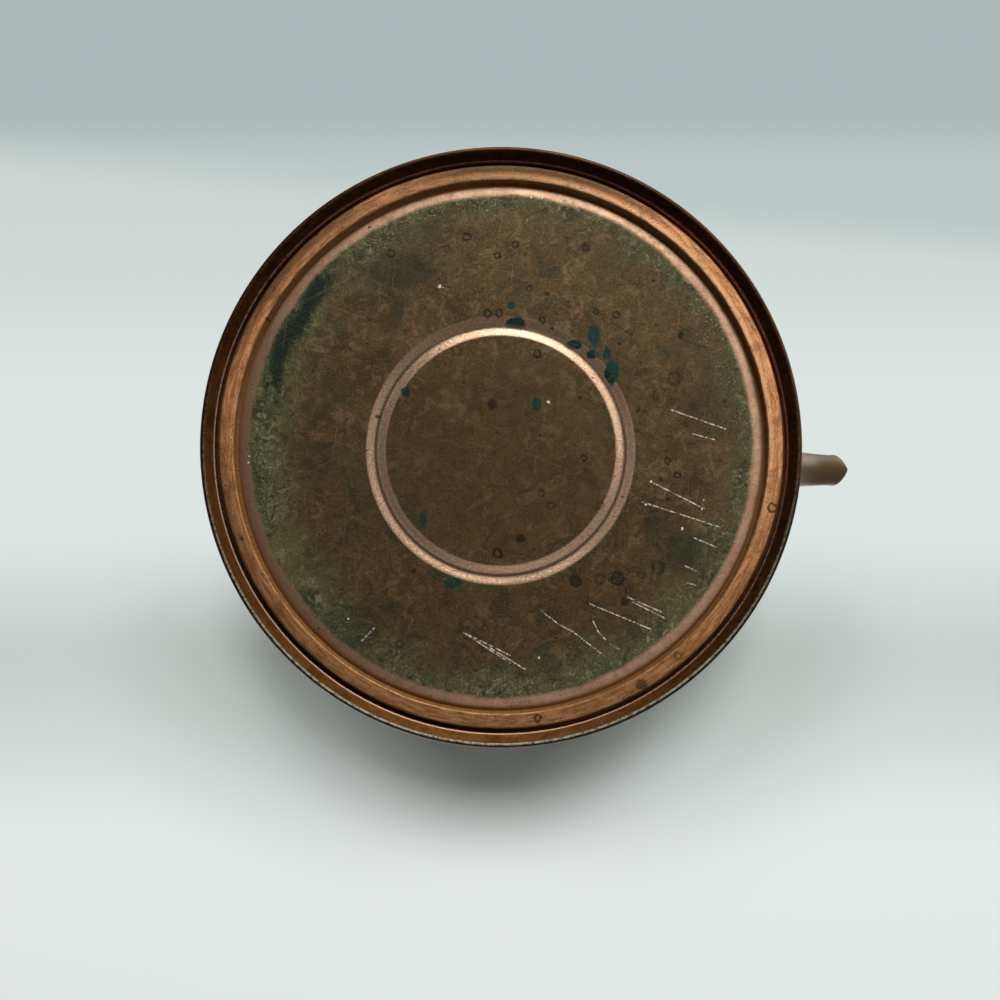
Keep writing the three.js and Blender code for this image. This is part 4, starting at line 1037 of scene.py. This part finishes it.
def collar_profile():
    """Flange on the dome, upright wall and a rolled bead at the top, closed down the inside."""
    r = np.linspace(COLLAR_OUT + 4, COLLAR_OUT + 1.2, 7) - 0.4
    low = [(radius, dome_z(radius, GAP)) for radius in (COLLAR_IN, 46.2, 48.8)]
    edge = [(48.9, dome_z(48.8, GAP + 0.5)), (48.75, dome_z(48.6, GAP + 1.2))]
    flange_top = np.stack([r, dome_z(r, GAP + 1.5)], axis=1)
    stem = [(45.3, dome_z(45.3, GAP + 1.6)), (COLLAR_OUT, dome_z(COLLAR_OUT, GAP + 2.4)), (COLLAR_OUT, 98.2)]
    bead = arc((COLLAR_OUT + 0.1, COLLAR_TOP - 1.0), 1.0, -80, 90, 12)
    top = [(COLLAR_IN + 0.5, COLLAR_TOP), (COLLAR_IN, COLLAR_TOP - 0.5)]
    return divided(np.concatenate([low, edge, flange_top, stem, bead, top]), 1.2)


LID_INNER_ROWS, LID_COLUMNS = 36, 256


def lid_profile():
    """Inside of the dome from the middle out, under the brim, round its rolled edge and back over the top."""
    a = np.radians(np.linspace(90, 2, LID_INNER_ROWS))
    inner = np.stack([(LID_DOME - SHEET) * np.cos(a), LID_BRIM_TOP + (LID_RISE - SHEET) * np.sin(a)], axis=1)
    b = np.radians(np.linspace(9, 90, 44))
    outer = np.stack([LID_DOME * np.cos(b), LID_BRIM_TOP + LID_RISE * np.sin(b)], axis=1)
    inner[0, 0] = outer[-1, 0] = 0.3
    brim = [(39.8, 101.2), (40.2, LID_BASE), (47.4, LID_BASE)]
    edge = arc((LID_RADIUS - 0.55, 101.4), 0.62, -90, 100, 12)
    foot = softened([(47.2, LID_BRIM_TOP), (41.6, LID_BRIM_TOP), (40.6, LID_BRIM_TOP + 2.2)], 1.4, 6)[:-1]
    return np.concatenate([inner, brim, edge, foot, outer])


def rosette_surface(columns=192):
    """Disc on the lid's top: its edge waves in sixteen scallops, its top is dished towards the knob."""
    rows = [(0.3, 0), (4, 0), (7.2, 0), (7.9, 0.2), (8.0, 0.7), (7.5, 1.25), (6.2, 1.5), (5, 1.6), (0.3, 1.6)]
    radius, height = softened(rows, 0.5, 3).T[:, :, None]
    a = angles(columns)[None, :]
    r = radius * (1 + 0.055 * np.cos(16 * a) * ease((radius - 5) / 3))
    seat = LID_BRIM_TOP + GAP + LID_RISE * np.sqrt(1 - (r / LID_DOME) ** 2)
    z = seat + height * (LID_BRIM_TOP + LID_RISE + GAP + 1.6 - seat) / 1.6
    return shell(np.stack([r * np.cos(a), r * np.sin(a), z], axis=2), True)


KNOB_SHARES = [
    (0.66, 0.06), (0.37, 0.13), (0.34, 0.2), (0.78, 0.3), (1, 0.44), (0.96, 0.56), (0.72, 0.7), (0.36, 0.8),
    (0.25, 0.86), (0.26, 0.94), (0.14, 1),
]
KNOB_RADIUS, KNOB_BASE, KNOB_HEIGHT = 9.5, 120.2, 27


def knob_profile():
    """Turned knob: foot disc, waist, belly with two fine cut lines, and a button on top."""
    line, _ = smooth_line([(x * KNOB_RADIUS, KNOB_BASE + z * KNOB_HEIGHT) for x, z in KNOB_SHARES], 150)
    line[:, 0] -= 0.28 * sum(np.exp(-(((line[:, 1] - z) / 0.3) ** 2)) for z in (131.2, 133.4))
    foot = softened([(0.3, KNOB_BASE), (6.27, KNOB_BASE), (6.27, 121.5)], 0.5, 4)
    top = softened([(1.33, 147.1), (1.0, 147.2), (0.3, 147.2)], 0.2, 3)
    return np.concatenate([foot, line[2:], top[1:]])


collar = turned(collar_profile(), 288, poles=False)
mesh_piece("neck_ring", collar, "kettle_body", body_copper, "aged_copper", "neck_collar")
lid_parts = turned(lid_profile(), LID_COLUMNS)
lid = mesh_piece("lid_dome", lid_parts, "lid", (body_copper, tin), "aged_copper", "lid_shell")
second_finish(lid, np.arange(len(lid.data.polygons)) < (LID_INNER_ROWS + 3) * LID_COLUMNS)
bezel = softened([(41.4, 93.5), (42.6, 93.5), (42.6, 100.5), (41.4, 100.5)], 0.5, 3, closed=True)
mesh_piece("lid_ring", turned(bezel, 192, poles=False), "lid", tin, "aged_copper", "lid_bezel")
mesh_piece("knob_rose", rosette_surface(), "lid", bright_copper, "bright_copper", "knob_rosette")
brass_piece("knob", turned(knob_profile(), 128), "lid", "lid_knob")
washer = softened([(2.3, 115.3), (6.5, 115.3), (6.5, 116.5), (2.3, 116.5)], 0.3, 3, closed=True)
brass_piece("washer", turned(washer, 64, poles=False), "lid", "knob_washer")
screw = [(0.2, 112.9), (3.4, 113.1), (4.4, 113.9), (4.4, 115.0), (2.0, 115.0), (2.0, 131.9), (0.2, 131.9)]
brass_piece("screw", turned(softened(screw, 0.3, 3), 64), "lid", "knob_screw")

# Rivets

HEAD_RADIUS, HEAD_RISE = 2.9, 1.5


def rivet(name, seat, plate, body, node_name):
    """Domed head on the plate, shank through it and a flattened tail inside, about its own axis."""
    low, tail = GAP + plate + GAP, -SHEET - GAP
    a = np.linspace(0, math.pi / 2 - 0.05, 12)
    head = np.stack([HEAD_RADIUS * np.cos(a), low + HEAD_RISE * np.sin(a)], axis=1)
    shank = [(0.1, tail - 0.9), (2.5, tail - 0.85), (2.5, tail), (1.5, tail), (1.5, low)]
    shank.append((HEAD_RADIUS - 0.1, low))
    shape = turned(np.concatenate([softened(shank, 0.25, 3), head]), 40)
    mesh_piece(name, aimed(shape, *seat), body, bright_copper, "bright_copper", node_name)


for i, y in enumerate((-6.5, 6.5)):
    seat = on_cap(HINGE_X - 9.5, y, BODY_CAP)
    rivet(f"leaf_rivet_{i + 1}", seat, 1.5, "kettle_body", f"hinge_body_rivet_{i + 1}")
for i, x in enumerate((HINGE_X + 28, HINGE_X + 20)):
    rivet(f"strap_rivet_{i + 1}", on_cap(x, 0.0, LID_CAP), 1.5, "lid", f"hinge_lid_rivet_{i + 1}")
for side, sign in SIDES:
    for i, x in enumerate((-9.6, 9.6)):
        seat = on_cap(sign * x, sign * (EAR_Y + 6.4), BODY_CAP)
        rivet(f"ear_pin_{side}_{i + 1}", seat, 2.0, "kettle_body", f"ear_rivet_{side}_{i + 1}")

# The hinge


def bar(radius, low, high, x, z, columns=48, edge=0.3):
    """A round bar along Y with softened ends."""
    line = softened([(0.1, low), (radius, low), (radius, high), (0.1, high)], edge, 4)
    return aimed(turned(line, columns), (x, 0, z), (0, 1, 0))


def on_dome(thickness):
    """Lays a flat outline on the dome, a gap above it, with its thickness along the dome's own square."""

    def place(u, v, w):
        point, direction = on_cap(u, v, BODY_CAP)
        return point + direction * (GAP + thickness / 2 + w)[..., None]

    return place


def upright_x(middle_x):
    """Stands a flat (y, z) outline at an x, its thickness along X."""
    return lambda u, v, w: np.stack([middle_x + w, u, v], axis=-1)


def upright_y(middle_y):
    """Stands a flat (x, z) outline at a y, its thickness along Y."""
    return lambda u, v, w: np.stack([u, middle_y - w, v], axis=-1)


def rectangle(low, high, radius):
    """A rounded rectangle between two corners, anticlockwise."""
    (a, b), (c, d) = low, high
    return rounded_outline([(a, b), (c, b), (c, d), (a, d)], radius)


def body_leaf_shape():
    """Foot on the dome, a web up to the lid's knuckle, two risers and two knuckles."""
    foot = rectangle((HINGE_X - 17, -11), (HINGE_X + 0.2, 11), 1.8)
    base_z = float(dome_z(-HINGE_X)) - 0.4
    back, web_top = upright_x(HINGE_X - 0.75), HINGE_Z - 3.1
    web = rectangle((-10.7, base_z + 0.1), (10.7, web_top), 0.5)
    shells = [
        slab(foot, (HINGE_X - 8.5, 0.0), 0.75, 0.35, on_dome(1.5)),
        slab(web, (0.0, (base_z + web_top) / 2), 0.75, 0.3, back),
    ]
    for sign in (-1, 1):
        low, high = sorted((sign * 4.5, sign * 11.0))
        riser = rectangle((low, base_z), (high, HINGE_Z), 0.4)
        shells.append(slab(riser, ((low + high) / 2, HINGE_Z - 4), 0.9, 0.35, back))
        shells.append(bar(KNUCKLE, low, high, HINGE_X, HINGE_Z))
    return joined(*shells)


def strap_surface(columns=48):
    """Strap on the lid: a rounded section carried along the side view of the brim and the dome, narrowing
    to a round end, and bent down at its sides by the square of y over twice the dome's radius."""
    a, lift = np.radians(np.linspace(12, 64.8, 60)), 1.05
    dome_run = [-(LID_DOME + lift) * np.cos(a), LID_BRIM_TOP + (LID_RISE + lift) * np.sin(a)]
    dome_run = np.stack(dome_run, axis=1)
    start = [(HINGE_X + 1.5, HINGE_Z), (-43.6, HINGE_Z), tuple(dome_run[0])]
    line = np.concatenate([divided(softened(start, 1.8, 8), 0.5), dome_run[2:]])
    square = squares(line)
    x = line[:, 0]
    half = np.where(x > HINGE_X + 28, np.sqrt(np.maximum(36 - (x - HINGE_X - 28) ** 2, 0.02)), 6.0)
    half = np.where(x < -45.5, 4.2 + 1.8 * ease((x + 49) / 3.5), half)
    unit = rounded_outline([(-1, -0.75), (1, -0.75), (1, 0.75), (-1, 0.75)], 0.2, 0.12)
    unit = unit[:: max(1, len(unit) // columns)]
    y = half[:, None] * unit[None, :, 0]
    w = unit[None, :, 1] * np.minimum(1, half / 2)[:, None] - y**2 / 84 * ease((x + 43) / 4)[:, None]
    grid = np.stack([x[:, None] + square[:, 0:1] * w, -y, line[:, 1][:, None] + square[:, 1:2] * w], axis=2)
    return shell(grid, True)


brass_piece("hinge_foot", body_leaf_shape(), "kettle_body", "hinge_body_leaf")
knuckle = bar(KNUCKLE, -4.2, 4.2, HINGE_X, HINGE_Z)
brass_piece("hinge_strap", joined(strap_surface(), knuckle), "lid", "hinge_lid_leaf")
half_pin = [(0.1, -12.2), (1.9, -12.1), (2.2, -11.3), (1.3, -11.3)]
pin = softened(half_pin + [(r, -y) for r, y in half_pin[::-1]], 0.25, 3)
brass_piece("hinge_rod", aimed(turned(pin, 32), (HINGE_X, 0, HINGE_Z), (0, 1, 0)), "kettle_body", "hinge_pin")

# The ears, their pins and the bail


def ear_shape():
    """Cast lug at +Y: a foot on the dome, an upright tab with a round head and two stops for the bail."""
    foot = rectangle((-14, EAR_Y - 7.5), (14, EAR_Y + 11), 4.5)
    low = float(dome_z(68)) - 1.5
    head = arc((0, PIVOT_Z), 8, 0, 180, 40)
    waist = np.linspace(12.5, 8, 14) - 1.6 * np.sin(np.linspace(0, math.pi, 14))
    side = np.stack([waist, np.linspace(low + 1, PIVOT_Z, 14)], axis=1)
    tab = np.concatenate([[(-12.5, low), (12.5, low)], side[:-1], head, (side * (-1, 1))[::-1][1:]])
    shells = [
        slab(foot, (0.0, EAR_Y + 1.75), 1.0, 0.7, on_dome(2.0)),
        slab(tab, (0.0, PIVOT_Z - 6), 2.0, 0.7, upright_y(EAR_Y)),
    ]
    for x in (-9.5, 9.5):
        stop = rectangle((x - 2, 84.2), (x + 2, 88.7), 0.8)
        shells.append(slab(stop, (x, 86.4), 3.9, 0.7, upright_y(EAR_Y + 2.3)))
    return joined(*shells)


PIVOT_LINE = [
    (0.1, 62.2), (3.4, 62.3), (4.4, 62.9), (4.4, 63.7), (2.3, 63.7), (2.3, 71.8), (4.4, 71.8), (4.4, 72.6),
    (3.4, 73.2), (0.1, 73.3),
]
for side, sign in SIDES:
    pivot = aimed(turned(softened(PIVOT_LINE, 0.35, 4), 48), (0, 0, PIVOT_Z), (0, 1, 0))
    for name, shape, stands_for in (("lug", ear_shape(), "ear"), ("pivot", pivot, "bail_pin")):
        placed = (shape[0] * (sign, sign, 1), *shape[1:])
        brass_piece(f"{name}_{side}", placed, "kettle_body", f"{stands_for}_{side}")


def bail_surface(columns=36):
    """One wire: its section, a power curve between flat and round, is carried up one leg, round the bends
    and down the other. Near each pivot it flattens and widens into a round eye."""
    corner = arc((BAIL_Y - BAIL_CORNER, BAIL_TOP - BAIL_CORNER), BAIL_CORNER, 0, 90, 26)
    heights = np.concatenate([85.62 + 21 * np.linspace(0, 1, 60) ** 1.25, np.linspace(110, 185, 10)])
    leg = np.stack([heights * 0 + BAIL_Y, heights], axis=1)
    top = np.linspace([BAIL_Y - BAIL_CORNER, BAIL_TOP], [0, BAIL_TOP], 14)[1:]
    half_line = np.concatenate([leg, corner[1:], top])
    line = np.concatenate([half_line, (half_line * (-1, 1))[::-1][1:]])
    z = line[:, 1]
    flat = 1 - ease((z - 98) / 8)
    eye = np.sqrt(np.maximum(EYE**2 - (z - PIVOT_Z) ** 2, 0.05))
    wide = np.maximum(np.where(z < PIVOT_Z + EYE, eye, 0), WIRE - 0.3 * flat)
    wide = np.where(z < PIVOT_Z - 5, eye, wide)
    thick = WIRE - (WIRE - EYE_THICK) * flat
    a = angles(columns)[None, :]
    power = (1 - 0.45 * flat)[:, None]
    u = wide[:, None] * np.sign(np.cos(a)) * np.abs(np.cos(a)) ** power
    v = thick[:, None] * np.sign(np.sin(a)) * np.abs(np.sin(a)) ** power
    square = squares(line)
    grid = np.stack([-u, line[:, 0:1] + square[:, 0:1] * v, line[:, 1:2] + square[:, 1:2] * v], axis=2)
    return shell(grid, True)


GRIP_SHARES = [
    (0.62, 0), (0.66, 0.03), (0.78, 0.12), (0.93, 0.28), (1, 0.5), (0.93, 0.72), (0.78, 0.88), (0.66, 0.97),
    (0.62, 1),
]
GRIP_RADIUS, GRIP_HALF = 12.2, 39.0


def grip_profile():
    """Turned wooden grip with a bead and a cut line at each end, closed through its bore."""
    line, _ = smooth_line([(x * GRIP_RADIUS, (y - 0.5) * 2 * GRIP_HALF) for x, y in GRIP_SHARES], 220)
    reach = np.abs(line[:, 1])
    cut = sum(np.exp(-(((reach - at) / 0.45) ** 2)) for at in (36.2, 32.6))
    line[:, 0] += -0.55 * cut + 0.25 * np.exp(-(((reach - 34.4) / 1.1) ** 2))
    ends = softened([(3.3, GRIP_HALF), (3.3, -GRIP_HALF), (line[0, 0] - 0.1, -GRIP_HALF)], 0.2, 3)
    return np.concatenate([ends, line[1:-1], [(line[-1, 0] - 0.1, GRIP_HALF)]])


def on_top(profile, columns):
    """A closed profile carried round the grip's axis, along Y at the top of the bail."""
    return aimed(turned(profile, columns, poles=False), (0, 0, BAIL_TOP), (0, 1, 0))


mesh_piece("bail_arch", bail_surface(), "bail", iron, "dark_iron", "bail_wire")
mesh_piece("grip_wood", on_top(grip_profile(), 96), "bail", wood, "turned_wood", "bail_grip")
for side, sign in SIDES:
    loop = [(3.3, 39.3), (6.6, 39.3), (6.6, 41.4), (6.0, 42.2), (5.2, 44.3), (3.3, 44.3)]
    loop = softened([(r, sign * y) for r, y in loop][::sign], 0.4, 4, closed=True)
    brass_piece(f"cap_{side}", on_top(loop, 64), "bail", f"bail_ferrule_{side}")

# Stage, light and camera


def plain_material(name, colour, rough):
    material, shader, _ = new_material(name)
    shader.inputs["Base Color"].default_value = (*colour, 1)
    shader.inputs["Roughness"].default_value = rough
    shader.inputs["Specular IOR Level"].default_value = 0.15
    return material, shader


def one_sided(shader, shown=1.0):
    """Shows the front of a surface and lets everything through its back."""
    clear = node("BsdfTransparent")[0]
    front = (1.0 - node("NewGeometry")["Backfacing"]) * shown
    mix = node("MixShader", {0: front, 1: clear, 2: Value(shader.outputs[0])})[0]
    put(Bench.tree.nodes["Material Output"].inputs["Surface"], mix)


def flat_ring(name, inner, outer, height, looks_up, material):
    """A flat ring round the kettle at a height, its face up or down."""
    columns = 256
    a = angles(columns)
    radii = np.array([inner, inner * 1.3, inner * 2, outer])[:, None]
    grid = np.stack([radii * np.cos(a), radii * np.sin(a), height + 0 * radii * a], axis=2)
    faces = grid_faces(len(radii), columns, False)
    shape = (grid.reshape(-1, 3), faces[:, ::-1] if looks_up else faces, NO_TRIS)
    sheet = in_scene(name, mesh_of(name, shape))
    sheet.data.materials.append(material)
    sheet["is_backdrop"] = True
    return sheet


floor_paper, shader = plain_material("floor_paper", (0.74, 0.75, 0.74), 0.7)
one_sided(shader)
floor = flat_ring("floor", 88.6, 9000, FOOT_Z, True, floor_paper)
floor.visible_diffuse = False

table_paper, shader = plain_material("table_paper", (0.7, 0.73, 0.72), 0.8)
along = parts(own_millimetres())[1]
# Painted shade: the table is darker near the kettle and lighter further out along +Y.
put(shader.inputs["Base Color"], mixed(fade(along, 66, 152), (0.52, 0.56, 0.545), (0.77, 0.8, 0.79)))
# Painted light: a faint teal glow lifts the table's shadows, as ambient light would.
shader.inputs["Emission Color"].default_value = (0.0, 0.014, 0.008, 1)
shader.inputs["Emission Strength"].default_value = 1.0
one_sided(shader, fade(along, 22.0, 72.0))
table = flat_ring("table_below", 92.0, 900, 60.0, False, table_paper)
table.visible_shadow = table.visible_diffuse = table.visible_glossy = False

KETTLE_MIDDLE = Vector((0, 0, 0.06))
solid_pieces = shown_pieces()


def soft_light(name, direction, distance, size, power, colour, lit):
    """A square soft light that looks at the middle of the kettle from a direction and lights only what is
    named. Everything shades a light for all of the kettle; only the kettle shades the others."""
    data = bpy.data.lights.new(name, "AREA")
    data.shape, data.size, data.energy, data.color = "SQUARE", size, power, colour
    lamp = in_scene(name, data)
    away = Vector(direction).normalized()
    lamp.location = KETTLE_MIDDLE + away * distance
    lamp.rotation_mode = "QUATERNION"
    lamp.rotation_quaternion = away.to_track_quat("Z", "Y")
    linked = {"receiver_collection": lit}
    if lit is not solid_pieces:
        linked["blocker_collection"] = solid_pieces
    for role, pieces in linked.items():
        chosen = bpy.data.collections.new(f"{name}_{role}")
        for piece in pieces:
            chosen.objects.link(piece)
        setattr(lamp.light_linking, role, chosen)


for light in (
    ("window", (0.12, -0.76, -0.64), 1.5, 0.8, 25.5, (1.0, 1.0, 0.99), [base, rim]),
    ("window_right", (0.72, -0.3, -0.62), 1.5, 0.7, 9.0, (1.0, 0.99, 0.96), [base, rim]),
    ("below_spout", (0.15, -0.6, -0.8), 1.5, 1.4, 25.0, (1.0, 0.94, 0.82), [spout]),
    ("fill", (0.1, 0.62, -0.78), 1.5, 1.0, 3.1, (1.0, 0.99, 0.98), [base]),
    ("over_table", (0.075, -0.5, -0.86), 1.5, 0.5, 13.5, (1.0, 1.0, 0.99), [table]),
    ("round_table", (0.05, -0.4, -0.9), 1.5, 2.4, 8.0, (0.98, 1.0, 1.0), [table]),
    ("table_left", (-0.44, -0.58, -0.75), 1.5, 0.5, 7.0, (1.0, 1.0, 1.0), [table]),
    ("table_right", (0.46, -0.56, -0.75), 1.5, 0.5, 7.0, (1.0, 1.0, 1.0), [table]),
    ("low_side", (0.0, 0.97, 0.2), 1.5, 0.7, 6.0, (1.0, 1.0, 0.99), [rim]),
    ("over_floor", (-0.25, -0.45, 1.0), 4.0, 3.0, 66.0, (1.0, 1.0, 0.99), [floor]),
    ("overhead", (-0.35, -0.55, 1.0), 1.3, 1.0, 15.0, (1.0, 0.99, 0.97), solid_pieces),
    ("side", (1.0, -0.6, 0.45), 1.5, 0.9, 9.0, (0.93, 0.97, 1.0), solid_pieces),
    ("rear", (-0.7, 1.0, 0.6), 1.5, 0.8, 7.0, (0.95, 0.98, 1.0), solid_pieces),
):
    soft_light(*light)


def make_world():
    """Pale room above, dim below the floor. Straight up, where the base's view looks, it is a pale sheet
    that turns darker and bluer in soft steps towards the far side of y / z = -0.4."""
    world = bpy.data.worlds.new("room")
    world.use_nodes = True
    Bench.tree = world.node_tree
    axes = parts(node("TexCoord")["Generated"])
    height = highest(axes[2], 0.05)
    tilt = axes[1] / height
    slant = axes[0] / height * -0.094 + tilt
    sheet = mixed(fade(tilt, -0.475, -0.4), (0.423, 0.479, 0.491), (0.497, 0.571, 0.565))
    sheet = mixed(fade(slant, -0.4, -0.325), sheet, (0.617, 0.672, 0.651))
    sheet = mixed(fade(tilt, -0.36, -0.12), sheet, (0.723, 0.783, 0.768))
    room = mixed(fade(axes[2], 0.3, 0.8), (0.5, 0.52, 0.52), sheet)
    colour = mixed(fade(axes[2], -0.08, 0.0), (0.05, 0.052, 0.05), room)
    put(Bench.tree.nodes["Background"].inputs[0], colour)
    return world


bpy.context.scene.world = make_world()
bpy.context.scene.view_settings.view_transform = "Standard"

camera_data = bpy.data.cameras.new("camera")
camera_data.lens, camera_data.sensor_width = 32.0, 36.0
camera_data.clip_start = 0.01
camera = in_scene("camera", camera_data)
forward = Vector((-0.00107, -0.0249, 1.0)).normalized()
right = Vector((1, 0, 0)) - forward * forward.x
right.normalize()
turn = Matrix((right, right.cross(forward), -forward)).transposed().to_4x4()
camera.matrix_world = Matrix.Translation((0.0, 0.0228, -0.2628)) @ turn
bpy.context.scene.camera = camera
